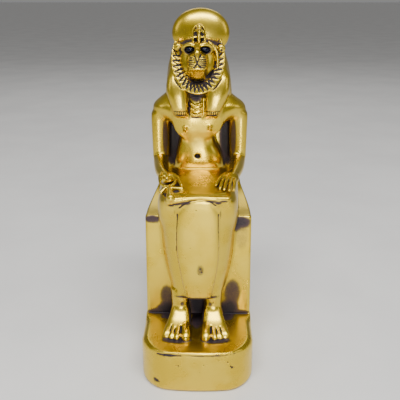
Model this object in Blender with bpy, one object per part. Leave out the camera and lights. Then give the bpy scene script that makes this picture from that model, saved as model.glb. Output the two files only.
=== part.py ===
"""Seated lioness figure with a sun disc, cast in one with its throne and plinth, and her two eye stones.

Metres, +Z up. She faces -Y, the plinth stands on Z = 0 and is centred on the Z axis.
"""
import math

import bmesh
import bpy
from mathutils import Matrix, Vector

# Overall sizes
STATUE_HEIGHT = 0.120
PLINTH_HEIGHT = 0.0151

# The figure keeps its proportions: its carving is given in units of which the figure,
# from the plinth's top to the top of the disc, is always FIGURE_UNITS high.
FIGURE_UNITS = 104.9
PLINTH_UNITS = 15.1
UNIT = (STATUE_HEIGHT - PLINTH_HEIGHT) / FIGURE_UNITS

# Throne, which the figure sits in
THRONE_FOOT_WIDTH = 37.5 * UNIT
THRONE_TOP_WIDTH = 36.5 * UNIT
THRONE_EDGE_ROUND = 0.0010

# Plinth, which follows the throne's width and the reach of the toes
PLINTH_SIDE_LEDGE = 0.0002
PLINTH_TOE_LEDGE = 0.0065
PLINTH_BATTER = 0.0006
PLINTH_FRONT_CORNER = 0.0105
PLINTH_BACK_CORNER = 0.0030
PLINTH_TOP_EASE = 0.0004
PLINTH_FOOT_ROUND = 0.0018
TOE_REACH = 23.0 * UNIT
PLINTH_HALF_WIDTH = THRONE_FOOT_WIDTH / 2 + PLINTH_SIDE_LEDGE
PLINTH_HALF_DEPTH = TOE_REACH + PLINTH_TOE_LEDGE

# Eye stones and their sockets
EYE_STONE_LENGTH = 0.0028
EYE_STONE_HEIGHT = 0.0017
EYE_STONE_DEPTH = 0.0020
EYE_FIT_GAP = 0.0003
EYE_SPACING = 5.0 * UNIT
EYE_PROUD = 0.0003

# Carving
MANE_TUFTS = 32
MANE_TUFT_LENGTH = 2.7
MANE_TUFT_WIDTH = 0.86
MANE_TUFT_HEIGHT = 0.9
NECKLACE_ROWS = 3
NECKLACE_BEADS = 7
CLAY_GRAIN = 0.00026
FIGURE_FACES = 7900
WELD = 0.00002

FACE_X = -0.40
FACE_Y = 3.9
EYE_Z = 107.45


def spot(x, y, z):
    """A point of the figure, from figure units (Z counted from the plinth's underside) to metres."""
    return Vector((x * UNIT, y * UNIT, PLINTH_HEIGHT + (z - PLINTH_UNITS) * UNIT))


def rounded(cx, cy, half_x, front, back, power, count=40):
    """Closed outline about (cx, cy): half_x to each side, front towards -Y, back towards +Y."""
    points = []
    for i in range(count):
        angle = 2 * math.pi * i / count
        c, s = math.cos(angle), math.sin(angle)
        x = math.copysign(abs(c) ** (2 / power), c) * half_x
        y = math.copysign(abs(s) ** (2 / power), s) * (back if s > 0 else front)
        points.append((cx + x, cy + y))
    return points


def add_loft(clay, rings):
    """Close a row of equally long rings of points into one body."""
    rows = [[clay.verts.new(p) for p in ring] for ring in rings]
    count = len(rows[0])
    faces = []
    for low, high in zip(rows, rows[1:]):
        for i in range(count):
            j = (i + 1) % count
            faces.append(clay.faces.new((low[i], low[j], high[j], high[i])))
    for row, flip in ((rows[0], True), (rows[-1], False)):
        centre = clay.verts.new(sum((v.co for v in row), Vector()) / count)
        for i in range(count):
            j = (i + 1) % count
            order = (row[j], row[i], centre) if flip else (row[i], row[j], centre)
            faces.append(clay.faces.new(order))
    bmesh.ops.recalc_face_normals(clay, faces=faces)
    return faces


def add_upright(clay, table, power=2.4):
    """Body of flat-lying sections; each row is z, centre x, half width, front y, back y."""
    rings = []
    for z, cx, half, front, back in table:
        middle = (front + back) / 2
        outline = rounded(cx, middle, half, middle - front, back - middle, power)
        rings.append([spot(x, y, z) for x, y in outline])
    return add_loft(clay, rings)


def add_lying(clay, table, power=2.6):
    """Body of upright sections set along Y; each row is y, centre x, half width, bottom z, top z."""
    rings = []
    for y, cx, half, low, top in table:
        middle = (low + top) / 2
        outline = rounded(cx, middle, half, middle - low, top - middle, power)
        rings.append([spot(x, y, z) for x, z in outline])
    return add_loft(clay, rings)


def add_limb(clay, path, sides=14, flat=1.0):
    """Rounded tube through a path of (x, y, z, radius); flat below 1 thins it in Z."""
    points = [spot(*p[:3]) for p in path]
    radii = [p[3] * UNIT for p in path]
    stations = []
    for i, (point, radius) in enumerate(zip(points, radii)):
        before = points[max(i - 1, 0)]
        after = points[min(i + 1, len(points) - 1)]
        along = (after - before).normalized()
        if i == 0:
            for turn in (80, 50, 22):
                a = math.radians(turn)
                stations.append((point - along * radius * math.sin(a), along, radius * math.cos(a)))
        stations.append((point, along, radius))
        if i == len(points) - 1:
            for turn in (22, 50, 80):
                a = math.radians(turn)
                stations.append((point + along * radius * math.sin(a), along, radius * math.cos(a)))
    rings = []
    side = stations[0][1].cross(Vector((0, 0, 1)))
    if side.length < 0.3:
        side = stations[0][1].cross(Vector((0, 1, 0)))
    for point, along, radius in stations:
        side = (side - along * side.dot(along)).normalized()
        up = side.cross(along).normalized()
        ring = []
        for k in range(sides):
            a = 2 * math.pi * k / sides
            ring.append(point + side * (radius * math.cos(a)) + up * (radius * flat * math.sin(a)))
        rings.append(ring)
    return add_loft(clay, rings)


def add_blob(clay, centre, size, tilt=(0.0, 0.0, 0.0), fineness=3):
    """Ellipsoid with half sizes in figure units, tilted by degrees about X, Y and Z."""
    turn = Matrix.Rotation(math.radians(tilt[2]), 4, "Z")
    turn = turn @ Matrix.Rotation(math.radians(tilt[1]), 4, "Y")
    turn = turn @ Matrix.Rotation(math.radians(tilt[0]), 4, "X")
    place = Matrix.Translation(spot(*centre)) @ turn @ Matrix.Diagonal((*[s * UNIT for s in size], 1))
    bmesh.ops.create_icosphere(clay, subdivisions=fineness, radius=1.0, matrix=place)


def add_body(clay):
    """Torso with breasts, shoulders, the plate behind the arms, and the lap."""
    add_upright(clay, (
        (58.0, 0.0, 10.5, 9.0, 23.0), (64.0, 0.0, 9.8, 9.4, 23.0), (66.5, -0.1, 9.0, 8.5, 23.0),
        (69.0, -0.2, 8.3, 8.0, 23.0), (71.5, -0.25, 7.8, 8.0, 23.0), (75.0, -0.6, 6.5, 8.7, 23.0),
        (77.4, -0.6, 6.0, 8.6, 23.0), (80.6, -0.4, 8.6, 7.5, 23.0), (84.0, -0.3, 11.3, 6.6, 22.8),
        (88.0, -0.4, 14.6, 7.6, 22.0), (90.4, -0.4, 13.2, 9.6, 21.0), (92.4, -0.4, 11.0, 11.0, 20.0),
        (97.0, -0.4, 6.0, 11.0, 19.0)), 3.0)
    add_upright(clay, (
        (50.0, 0.0, 14.8, 17.2, 25.5), (66.0, 0.0, 14.6, 17.2, 25.5), (80.0, 0.0, 13.8, 17.0, 24.5),
        (88.0, 0.0, 13.0, 16.5, 23.0), (90.5, 0.0, 11.0, 16.5, 22.0)), 5.0)
    for side in (-1, 1):
        breast_x = -0.45 + side * 4.25
        add_blob(clay, (breast_x, 7.7, 82.4), (3.7, 2.7, 3.8))
        add_limb(clay, ((breast_x, 5.5, 81.1, 1.0), (breast_x, 4.6, 81.1, 0.5)), 10)
        add_blob(clay, (side * 13.0, 15.2, 87.8), (3.9, 4.3, 3.5))
    add_lying(clay, (
        (-16.0, 0.1, 9.6, 60.5, 63.7), (-15.3, 0.1, 11.0, 54.0, 64.1), (-13.6, 0.0, 12.2, 49.0, 64.5),
        (-11.0, 0.0, 12.9, 48.0, 64.9), (-6.0, 0.0, 13.3, 47.0, 65.4), (0.0, 0.0, 13.7, 47.0, 65.8),
        (10.0, 0.0, 14.0, 47.0, 66.0), (20.0, 0.0, 13.6, 47.0, 65.0)), 3.4)


def add_arms(clay):
    """Bent arms lying along the thighs, the flat left hand and the right fist."""
    for side, wrist_x in ((-1, 10.5), (1, 11.2)):
        add_limb(clay, (
            (side * 13.4, 15.0, 87.2, 3.3), (side * 13.9, 15.0, 83.0, 3.15), (side * 13.95, 15.0, 77.5, 3.0),
            (side * 14.0, 15.0, 72.5, 2.85), (side * 13.9, 14.0, 69.3, 2.75), (side * 13.6, 11.5, 67.6, 2.65),
            (side * 13.1, 7.0, 67.2, 2.55), (side * 12.2, 1.5, 66.9, 2.35),
            (side * wrist_x, -3.5, 66.6, 2.0)), 18)
    add_blob(clay, (10.7, -4.6, 66.6), (2.7, 3.0, 1.5), (6, 0, 4))
    for root, tip in (((8.7, -5.6), (7.2, -10.6)), ((9.9, -6.0), (8.5, -12.0)),
                      ((11.1, -6.3), (10.1, -12.7)), ((12.2, -6.8), (11.6, -12.5))):
        middle = ((root[0] + tip[0]) / 2, (root[1] + tip[1]) / 2)
        add_limb(clay, ((*root, 67.2, 0.62), (*middle, 66.6, 0.60), (*tip, 65.4, 0.50)), 10)
    add_limb(clay, ((8.9, -2.1, 67.3, 0.85), (7.3, -5.2, 66.7, 0.75), (5.9, -8.6, 65.7, 0.55)), 10)
    add_blob(clay, (-10.2, -4.2, 67.2), (2.6, 2.6, 1.9))
    add_limb(clay, ((-10.3, -4.6, 68.5, 0.85), (-10.2, -6.6, 68.1, 0.8), (-10.2, -8.0, 67.0, 0.75)), 10)
    add_limb(clay, ((-12.1, -3.6, 67.9, 0.8), (-12.6, -5.8, 67.4, 0.7), (-12.3, -7.6, 66.2, 0.65)), 10)
    add_limb(clay, ((-8.2, -3.8, 67.5, 0.8), (-6.5, -6.4, 66.9, 0.7), (-5.4, -9.2, 65.8, 0.55)), 10)


def add_ankh(clay):
    """Looped cross in the right hand, lying along the thigh down to the knee."""
    steps = 20
    loop = []
    for k in range(steps + 1):
        a = 2 * math.pi * k / steps
        loop.append((-9.9 + 2.45 * math.sin(a), -8.0 + 2.6 * math.cos(a), 67.2 + 1.7 * math.cos(a), 0.50))
    for a, b in zip(loop, loop[1:]):
        add_limb(clay, (a, b), 8)
    add_limb(clay, ((-9.4, -10.6, 65.7, 0.6), (-8.9, -13.5, 65.2, 0.8), (-8.4, -16.2, 63.9, 1.4)), 12, 0.8)
    for tip in ((-11.7, -12.6, 64.4), (-5.1, -11.6, 65.3)):
        middle = (tip[0] * 0.5 - 9.2 * 0.5, -11.6, 65.5)
        add_limb(clay, ((-9.2, -11.2, 65.6, 0.5), (*middle, 0.55), (*tip, 0.75)), 10, 0.8)


def dress_ring(z, panel, half, front, side_y):
    """Outline of the dress at one height: a flat front, slanting sides, square behind."""
    back = 2.0
    right = [(panel * 0.5, front - 0.12), (panel * 0.86, front + 0.02), (panel * 1.06, front + 0.5)]
    for k in range(1, 7):
        a = math.radians(90 * k / 6)
        x = panel * 1.06 + (half - panel * 1.06) * (0.45 * math.sin(a) + 0.55 * k / 6)
        y = front + 0.5 + (side_y - front - 0.5) * (0.45 * (1 - math.cos(a)) + 0.55 * k / 6)
        right.append((x, y))
    right.append((half, (side_y + back) / 2))
    right.append((half - 0.2, back))
    outline = [(0.0, front - 0.15)] + right + [(-x, y) for x, y in reversed(right)]
    return [spot(x, y, z) for x, y in outline]


def add_dress(clay):
    """Tight long dress over the shins: raised front panel, knees and the lap's front edge."""
    add_loft(clay, [dress_ring(*row) for row in (
        (26.4, 4.4, 8.7, -14.3, -9.8), (27.2, 4.5, 9.1, -14.5, -9.8), (31.0, 4.8, 10.1, -14.7, -9.6),
        (38.0, 5.4, 11.4, -15.0, -9.2), (44.5, 5.9, 12.0, -15.2, -9.0), (52.5, 6.5, 12.3, -15.3, -9.0),
        (58.0, 7.4, 12.8, -15.5, -9.4), (61.5, 8.2, 12.6, -15.6, -10.0), (63.6, 8.4, 12.0, -15.2, -10.4),
        (64.3, 8.0, 11.2, -14.4, -10.4))])
    rings = []
    for z, middle, half, front in (
            (26.6, 0.3, 4.2, -14.7), (31.0, 0.3, 5.0, -15.1), (37.0, 0.3, 6.0, -15.5),
            (44.0, 0.2, 6.8, -15.8), (51.0, 0.1, 6.9, -16.1), (57.0, 0.2, 6.7, -16.4),
            (60.8, 0.5, 5.2, -16.6), (62.4, 0.8, 3.2, -16.5), (63.2, 0.8, 1.0, -16.2)):
        rings.append([spot(x, y, z) for x, y in rounded(middle, -13.0, half, -13.0 - front, 1.0, 4.0, 24)])
    add_loft(clay, rings)
    add_limb(clay, ((-9.0, -15.5, 62.6, 1.5), (-6.0, -15.9, 63.2, 1.1), (0.0, -16.0, 63.9, 0.6),
                    (5.0, -15.9, 63.6, 0.8), (9.6, -15.2, 63.1, 1.0)), 12)


def add_foot(clay, side):
    """Ankle, instep and toes, the outer two of which are one broad form."""
    def at(x):
        return side * x - 0.45

    add_upright(clay, (
        (14.0, at(5.6), 3.6, -14.5, -4.0), (18.0, at(5.6), 3.4, -14.0, -4.5),
        (22.0, at(5.6), 3.05, -13.2, -5.0), (25.5, at(5.6), 3.15, -13.2, -5.0),
        (29.0, at(5.6), 3.3, -12.5, -5.0)), 2.4)
    add_lying(clay, (
        (-19.6, at(6.4), 3.9, 13.8, 17.0), (-18.0, at(6.4), 4.2, 13.8, 18.3),
        (-16.4, at(6.2), 4.2, 13.8, 19.4), (-14.4, at(5.9), 3.9, 13.8, 21.0),
        (-12.5, at(5.7), 3.5, 13.8, 22.4), (-8.0, at(5.6), 3.2, 13.8, 21.0)), 2.5)
    for root, tip, root_radius, tip_radius in (
            ((3.4, -17.0), (3.4, -21.2), 1.70, 1.50), ((5.95, -17.4), (6.35, -21.4), 0.95, 0.88),
            ((7.5, -17.2), (8.2, -20.9), 0.85, 0.80), ((9.35, -16.8), (10.1, -19.7), 1.10, 0.98)):
        middle = (root[0] * 0.3 + tip[0] * 0.7, root[1] * 0.3 + tip[1] * 0.7)
        add_limb(clay, ((at(root[0]), root[1], 17.0, root_radius),
                        (at(middle[0]), middle[1], 16.5, root_radius),
                        (at(tip[0]), tip[1], 16.0, tip_radius)), 12)


def add_wig(clay):
    """Long wig: hood, the fall at the back, two front lappets with banded ends."""
    add_upright(clay, (
        (84.5, -0.3, 7.5, 15.0, 23.6), (87.0, -0.3, 9.4, 13.0, 24.2), (89.5, -0.25, 11.2, 9.5, 24.6),
        (91.5, -0.2, 11.6, 7.0, 24.7), (94.7, -0.2, 11.3, 5.8, 24.8), (98.0, -0.25, 10.9, 5.6, 24.4),
        (101.2, -0.3, 10.4, 6.2, 23.6), (104.5, -0.35, 9.5, 6.8, 22.3), (106.8, -0.3, 8.8, 7.2, 20.6),
        (108.8, -0.2, 7.4, 7.8, 19.0), (109.9, 0.0, 5.6, 8.6, 18.5), (110.6, 0.0, 3.4, 9.8, 18.0)), 2.3)
    lappets = (
        (-1, ((85.6, 3.7, 8.2, 4.4), (87.0, 3.6, 8.7, 3.6), (89.0, 3.5, 9.5, 3.0), (92.0, 3.4, 10.5, 3.1),
              (95.0, 3.4, 11.0, 3.7), (98.0, 3.4, 11.0, 4.6), (100.5, 3.6, 10.4, 6.0))),
        (1, ((85.6, 2.2, 6.6, 4.4), (87.0, 2.1, 7.2, 3.6), (89.0, 2.0, 8.2, 3.0), (92.0, 1.9, 9.6, 3.1),
             (95.0, 1.9, 10.4, 3.7), (98.0, 2.0, 10.6, 4.6), (100.5, 2.4, 10.0, 6.0))))
    for side, rows in lappets:
        rings = []
        for z, inner, outer, front in rows:
            middle, width, deep = side * (inner + outer) / 2, (outer - inner) / 2, (12.0 - front) / 2
            outline = rounded(middle, front + deep, width, deep, deep, 2.8, 28)
            rings.append([spot(x, y, z) for x, y in outline])
        add_loft(clay, rings)
        for z, inner, outer, front in ((rows[2][0] - 1.0, *rows[2][1:]), (rows[1][0] - 0.9, *rows[1][1:])):
            middle, reach = side * (inner + outer) / 2, (outer - inner) / 2 * 0.86
            hoop = [(middle + reach * t, front + 0.3 + 0.8 * t ** 4, z, 0.45)
                    for t in (-0.9, -0.6, -0.3, 0, 0.3, 0.6, 0.9)]
            add_limb(clay, hoop, 8)


def add_necklace(clay):
    """Neck plate between the lappets and rows of beads hanging in curves."""
    add_upright(clay, (
        (85.2, -0.8, 3.4, 5.8, 12.0), (88.0, -0.8, 3.6, 5.8, 12.0), (94.0, -0.8, 3.8, 7.0, 12.0)), 3.0)
    for row in range(NECKLACE_ROWS):
        for k in range(NECKLACE_BEADS):
            t = 2 * k / (NECKLACE_BEADS - 1) - 1
            z = 89.2 - 1.6 * row + (0.7 - 0.2 * row) * t * t
            add_blob(clay, (-0.9 + 2.2 * t, 5.0 - 0.3 * row + 0.6 * t * t, z), (0.46, 0.7, 0.55), fineness=2)


def mane_point(angle, out):
    """Point on the ring of mane around the face; out counts from the ring's middle line."""
    half_x, half_z = 7.5 + out, 9.4 + out
    y = 3.1 + 4.7 * (1 - math.cos(angle)) - 0.25 * out
    return FACE_X + 0.1 + half_x * math.sin(angle), y, 104.3 - half_z * math.cos(angle)


def add_tuft(clay, root, tip, width, height):
    """Pointed lock of hair lying on the ruff, highest along its middle."""
    root, tip = Vector(root), Vector(tip)
    across = (tip - root).cross(Vector((0, 1, 0))).normalized()
    rings = []
    for t, wide, tall in ((0.0, 0.45, 0.35), (0.2, 0.9, 0.85), (0.5, 1.0, 1.0), (0.8, 0.75, 0.8),
                          (1.0, 0.2, 0.3)):
        middle = root.lerp(tip, t)
        ring = []
        for side, rise in ((-1, -1.2), (-0.9, 0.1), (-0.35, 0.85), (0.35, 0.85), (0.9, 0.1), (1, -1.2)):
            point = middle + across * (side * wide * width / 2) - Vector((0, 1, 0)) * (rise * tall * height)
            ring.append(spot(*point))
        rings.append(ring)
    add_loft(clay, rings)


def add_mane(clay):
    """Ruff of tufts around the face inside a raised rim."""
    sweep = math.radians(121)
    steps = 40
    bed = [mane_point(-sweep + 2 * sweep * k / steps, 0.0) for k in range(steps + 1)]
    for a, b in zip(bed, bed[1:]):
        add_limb(clay, ((a[0], a[1] + 2.0, a[2], 1.55), (b[0], b[1] + 2.0, b[2], 1.55)), 8)
    rim = [mane_point(-sweep + 2 * sweep * k / steps, 1.5) for k in range(steps + 1)]
    for a, b in zip(rim, rim[1:]):
        add_limb(clay, ((a[0], a[1] + 0.9, a[2], 0.5), (b[0], b[1] + 0.9, b[2], 0.5)), 8)
    for k in range(MANE_TUFTS):
        angle = -sweep + 2 * sweep * (k + 0.5) / MANE_TUFTS
        swing = 0.03 * (1 if k % 2 else -1)
        root = Vector(mane_point(angle - swing, -MANE_TUFT_LENGTH / 2)) - Vector((0, 0.2, 0))
        tip = Vector(mane_point(angle + swing, MANE_TUFT_LENGTH / 2)) - Vector((0, 0.2, 0))
        add_tuft(clay, root, tip, MANE_TUFT_WIDTH, MANE_TUFT_HEIGHT)


def add_head(clay):
    """Lioness face: cheeks, brows, nose, square muzzle running down to the chin, and ears."""
    x = FACE_X
    add_blob(clay, (x, 8.8, 103.6), (6.2, 5.0, 6.6))
    add_blob(clay, (x, 7.6, 101.8), (5.2, 4.6, 4.6))
    add_upright(clay, (
        (97.6, x, 1.6, 4.0, 9.0), (98.6, x, 2.2, 2.9, 9.0), (99.6, x, 2.5, 2.0, 9.0),
        (100.6, x, 2.7, 1.0, 9.0), (101.2, x, 2.9, 0.1, 9.0), (101.8, x, 3.0, -0.4, 9.0),
        (103.0, x, 3.0, -0.3, 9.0), (104.5, x, 2.95, 0.0, 9.0), (105.6, x, 2.8, 0.6, 9.0),
        (106.2, x, 2.5, 1.6, 9.0), (106.8, x, 1.9, 3.2, 9.0), (108.4, x, 1.2, 4.2, 9.0)), 3.4)
    add_limb(clay, ((x, 3.9, 108.6, 1.05), (x, 2.4, 107.6, 1.0), (x, 0.9, 106.7, 0.95), (x, 0.3, 105.5, 0.85),
                    (x, -0.2, 104.0, 0.55)), 12)
    for side in (-1, 1):
        add_blob(clay, (x + side * 2.6, 6.0, 107.3), (2.5, 1.9, 1.8))
        add_limb(clay, ((x + side * 0.6, 4.0, 108.5, 0.6), (x + side * 2.4, 4.1, 109.1, 0.62),
                        (x + side * 4.3, 5.3, 108.4, 0.6), (x + side * 5.0, 6.4, 107.2, 0.5)), 10)
        ear = (-7.0, 8.4, 107.9) if side < 0 else (7.4, 8.4, 107.5)
        add_blob(clay, ear, (1.4, 1.0, 1.3), (0, side * 30, side * 15))
    add_blob(clay, (x, 9.6, 107.2), (5.6, 4.6, 2.5))


def add_crown(clay):
    """Sun disc behind the head and the cobra standing in front of it."""
    add_blob(clay, (0.45, 15.6, 112.1), (9.75, 4.1, 7.95), (-4, 0, 0), 4)
    add_upright(clay, (
        (105.0, 0.4, 6.0, 10.5, 20.0), (110.0, 0.4, 6.6, 12.0, 19.6), (112.0, 0.4, 4.0, 13.0, 18.6)), 2.4)
    rings = []
    for z, half, front in ((108.6, 1.5, 5.7), (109.8, 1.9, 5.7), (111.4, 2.3, 5.9), (112.8, 2.3, 6.2),
                           (114.0, 1.8, 6.5), (114.9, 1.2, 6.7), (115.4, 0.6, 7.0)):
        rings.append([spot(x, y, z) for x, y in rounded(0.15, front + 1.0, half, 1.0, 1.0, 2.4, 20)])
    add_loft(clay, rings)
    add_limb(clay, ((0.15, 5.5, 109.2, 0.5), (0.15, 5.4, 111.6, 0.45), (0.15, 5.5, 113.4, 0.55),
                    (0.15, 5.3, 114.4, 0.7)), 10)
    add_limb(clay, ((0.15, 8.0, 109.6, 1.2), (0.15, 13.0, 111.0, 1.2)), 10)
    for side in (-1, 1):
        rim = [(0.15 + side * w, y, z, 0.38) for w, y, z in (
            (1.4, 5.6, 109.2), (2.0, 5.7, 110.6), (2.15, 5.8, 112.2), (1.9, 6.0, 113.4), (1.1, 6.1, 114.5))]
        add_limb(clay, rim, 8)
        add_limb(clay, ((0.15, 5.6, 111.2, 0.36), (0.15 + side * 2.0, 5.8, 111.4, 0.36)), 8)
    add_limb(clay, ((3.4, 6.6, 109.5, 0.45), (4.7, 6.6, 108.4, 0.45), (5.9, 6.6, 106.2, 0.45),
                    (6.1, 6.6, 103.9, 0.45), (6.1, 6.6, 101.4, 0.45), (5.1, 6.6, 99.1, 0.45)), 8)


def add_navel(form):
    """Shape of the navel, to be taken out of the belly."""
    add_blob(form, (-0.55, 7.7, 70.9), (1.0, 1.3, 0.9), fineness=2)


def new_object(name, mesh_builder):
    """Make an object from a bmesh that a function fills."""
    form = bmesh.new()
    mesh_builder(form)
    mesh = bpy.data.meshes.new(name)
    form.to_mesh(mesh)
    form.free()
    item = bpy.data.objects.new(name, mesh)
    bpy.context.scene.collection.objects.link(item)
    return item


def set_in_stone(item):
    """Turn an object's modifiers into its own mesh."""
    graph = bpy.context.evaluated_depsgraph_get()
    mesh = bpy.data.meshes.new_from_object(item.evaluated_get(graph))
    item.modifiers.clear()
    item.data = mesh


def combine(item, other, operation):
    """Exact union or difference; the other body is used up."""
    cut = item.modifiers.new(operation.title(), "BOOLEAN")
    cut.operation = operation
    cut.solver = "EXACT"
    cut.object = other
    set_in_stone(item)
    bpy.data.objects.remove(other)


def make_figure():
    """The modelled figure, surfaced finely and then thinned to plane facets."""
    def fill(clay):
        add_body(clay)
        add_arms(clay)
        add_ankh(clay)
        add_dress(clay)
        for side in (-1, 1):
            add_foot(clay, side)
        add_wig(clay)
        add_necklace(clay)
        add_mane(clay)
        add_head(clay)
        add_crown(clay)

    figure = new_object("figure_form", fill)
    skin = figure.modifiers.new("Skin", "REMESH")
    skin.mode = "VOXEL"
    skin.voxel_size = CLAY_GRAIN
    skin.use_smooth_shade = True
    polish = figure.modifiers.new("Polish", "SMOOTH")
    polish.factor = 0.5
    polish.iterations = 2
    set_in_stone(figure)
    triangles = sum(len(p.vertices) - 2 for p in figure.data.polygons)
    thin = figure.modifiers.new("Facets", "DECIMATE")
    thin.decimate_type = "COLLAPSE"
    thin.ratio = FIGURE_FACES / triangles
    thin.use_collapse_triangulate = True
    set_in_stone(figure)
    return figure


def plan_outline(inset, batter):
    """Plinth outline seen from above, with wide front corners; front and back lean in by the batter."""
    half, front = PLINTH_HALF_WIDTH - inset, PLINTH_HALF_DEPTH - inset - batter
    points = []
    corners = ((half, front, PLINTH_BACK_CORNER, 0), (-half, front, PLINTH_BACK_CORNER, 90),
               (-half, -front, PLINTH_FRONT_CORNER, 180), (half, -front, PLINTH_FRONT_CORNER, 270))
    for x, y, radius, start in corners:
        radius = radius - inset
        for k in range(9):
            a = math.radians(start + 90 * k / 8)
            cx = x - math.copysign(radius, x)
            cy = y - math.copysign(radius, y)
            points.append((cx + radius * math.cos(a), cy + radius * math.sin(a)))
    return points


def make_plinth():
    """Block with a rounded foot and an eased top edge."""
    def fill(form):
        rings = []
        for k in range(5):
            a = math.radians(90 * k / 4)
            inset = PLINTH_FOOT_ROUND * (1 - math.sin(a))
            height = PLINTH_FOOT_ROUND * (1 - math.cos(a))
            rings.append([Vector((x, y, height)) for x, y in plan_outline(inset, 0.0)])
        top = PLINTH_HEIGHT - PLINTH_TOP_EASE
        rings.append([Vector((x, y, top)) for x, y in plan_outline(0.0, PLINTH_BATTER)])
        rings.append([Vector((x, y, PLINTH_HEIGHT)) for x, y in plan_outline(PLINTH_TOP_EASE, PLINTH_BATTER)])
        add_loft(form, rings)
    return new_object("plinth_form", fill)


def make_throne():
    """Block seat that rises and narrows to a low back rest."""
    rows = ((-4.3, 1.0, 53.3), (2.0, 0.995, 53.5), (10.0, 0.955, 54.5), (16.0, 0.90, 56.0),
            (20.0, 0.845, 58.2), (23.0, 0.82, 60.6), (25.0, 0.82, 61.6), (27.5, 0.82, 61.8))

    def fill(form):
        rings = []
        for y, narrow, top in rows:
            high = spot(0, 0, top).z
            low = PLINTH_HEIGHT * 0.9
            half = THRONE_TOP_WIDTH / 2 * narrow
            foot = THRONE_FOOT_WIDTH / 2 * (0.35 + 0.65 * narrow)
            rings.append([Vector(p) for p in ((-foot, y * UNIT, low), (foot, y * UNIT, low),
                                              (half, y * UNIT, high), (-half, y * UNIT, high))])
        add_loft(form, rings)
        bmesh.ops.dissolve_limit(form, angle_limit=math.radians(1), verts=form.verts, edges=form.edges)
    throne = new_object("throne_form", fill)
    edge = throne.modifiers.new("Edges", "BEVEL")
    edge.width = THRONE_EDGE_ROUND
    edge.segments = 3
    edge.limit_method = "ANGLE"
    edge.angle_limit = math.radians(40)
    set_in_stone(throne)
    return throne


def eye_form(name, side, grow):
    """Rounded almond of an eye, grown evenly for its socket."""
    x = FACE_X * UNIT + side * EYE_SPACING / 2
    y = FACE_Y * UNIT + EYE_STONE_DEPTH / 2 - EYE_PROUD
    z = spot(0, 0, EYE_Z).z
    half = ((EYE_STONE_LENGTH / 2) + grow, (EYE_STONE_DEPTH / 2) + grow, (EYE_STONE_HEIGHT / 2) + grow)

    def fill(form):
        turn = Matrix.Rotation(math.radians(side * 14), 4, "Z")
        turn = turn @ Matrix.Rotation(math.radians(side * 6), 4, "Y")
        place = Matrix.Translation((x, y, z)) @ turn @ Matrix.Diagonal((*half, 1))
        bmesh.ops.create_uvsphere(form, u_segments=12, v_segments=8, radius=1.0, matrix=place)
    return new_object(name, fill)


def give_material(item, name, colour, metallic, roughness):
    """One Principled material per object."""
    material = bpy.data.materials.new(name)
    material.use_nodes = True
    shader = material.node_tree.nodes["Principled BSDF"]
    shader.inputs["Base Color"].default_value = (*colour, 1.0)
    shader.inputs["Metallic"].default_value = metallic
    shader.inputs["Roughness"].default_value = roughness
    item.data.materials.clear()
    item.data.materials.append(material)


def close_short_edges(form):
    """Merge the ends of edges below the weld size, wherever the skin stays a single closed one."""
    for edge in sorted(form.edges, key=lambda edge: edge.calc_length()):
        if not edge.is_valid or edge.calc_length() > WELD:
            continue
        ends = list(edge.verts)
        around = [{link.other_vert(end) for link in end.link_edges} for end in ends]
        if len(around[0] & around[1]) == 2:
            middle = (ends[0].co + ends[1].co) / 2
            bmesh.ops.pointmerge(form, verts=ends, merge_co=middle)


def turn_slivers(form):
    """Give every triangle thinner than the weld size another diagonal with its neighbour."""
    for face in list(form.faces):
        if not face.is_valid:
            continue
        longest = max(face.edges, key=lambda edge: edge.calc_length())
        if 2 * face.calc_area() < WELD / 2 * longest.calc_length():
            bmesh.ops.rotate_edges(form, edges=[longest])


def make_casting():
    """Figure, throne and plinth as one solid casting with two eye sockets."""
    casting = make_figure()
    combine(casting, make_throne(), "UNION")
    combine(casting, make_plinth(), "UNION")
    for side in (-1, 1):
        combine(casting, eye_form("socket_form", side, EYE_FIT_GAP), "DIFFERENCE")
    combine(casting, new_object("navel_form", add_navel), "DIFFERENCE")
    form = bmesh.new()
    form.from_mesh(casting.data)
    bmesh.ops.triangulate(form, faces=form.faces)
    close_short_edges(form)
    turn_slivers(form)
    form.to_mesh(casting.data)
    form.free()
    casting.name = "cast_statue"
    casting.data.name = "cast_statue"
    for face in casting.data.polygons:
        face.use_smooth = True
    give_material(casting, "polished_brass", (0.83, 0.60, 0.20), 1.0, 0.25)
    return casting


def main():
    """Clear the startup objects and build the three pieces."""
    for item in list(bpy.data.objects):
        bpy.data.objects.remove(item)
    make_casting()
    for side, name in ((-1, "right_eye_stone"), (1, "left_eye_stone")):
        stone = eye_form(name, side, 0.0)
        for face in stone.data.polygons:
            face.use_smooth = True
        give_material(stone, name + "_blue", (0.02, 0.03, 0.10), 0.0, 0.15)


main()
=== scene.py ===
"""Dressed model of a gilt seated lioness goddess, cast in one with her throne and plinth.

The casting is modelled as a block of distance values, in figure millimetres, from which a fine skin
is taken; the two eye stones are turned ellipsoids. Finishes are node materials, and the darkening in
the hollows, patina and painted shade, follows how shut in each point of the skin is.
"""

import logging
import math
from dataclasses import dataclass, field
from enum import Enum
from typing import Iterable, Optional, Protocol, Sequence, Union

import bmesh
import bpy
import numpy as np
from mathutils import Matrix, Vector
from mathutils.bvhtree import BVHTree


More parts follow.
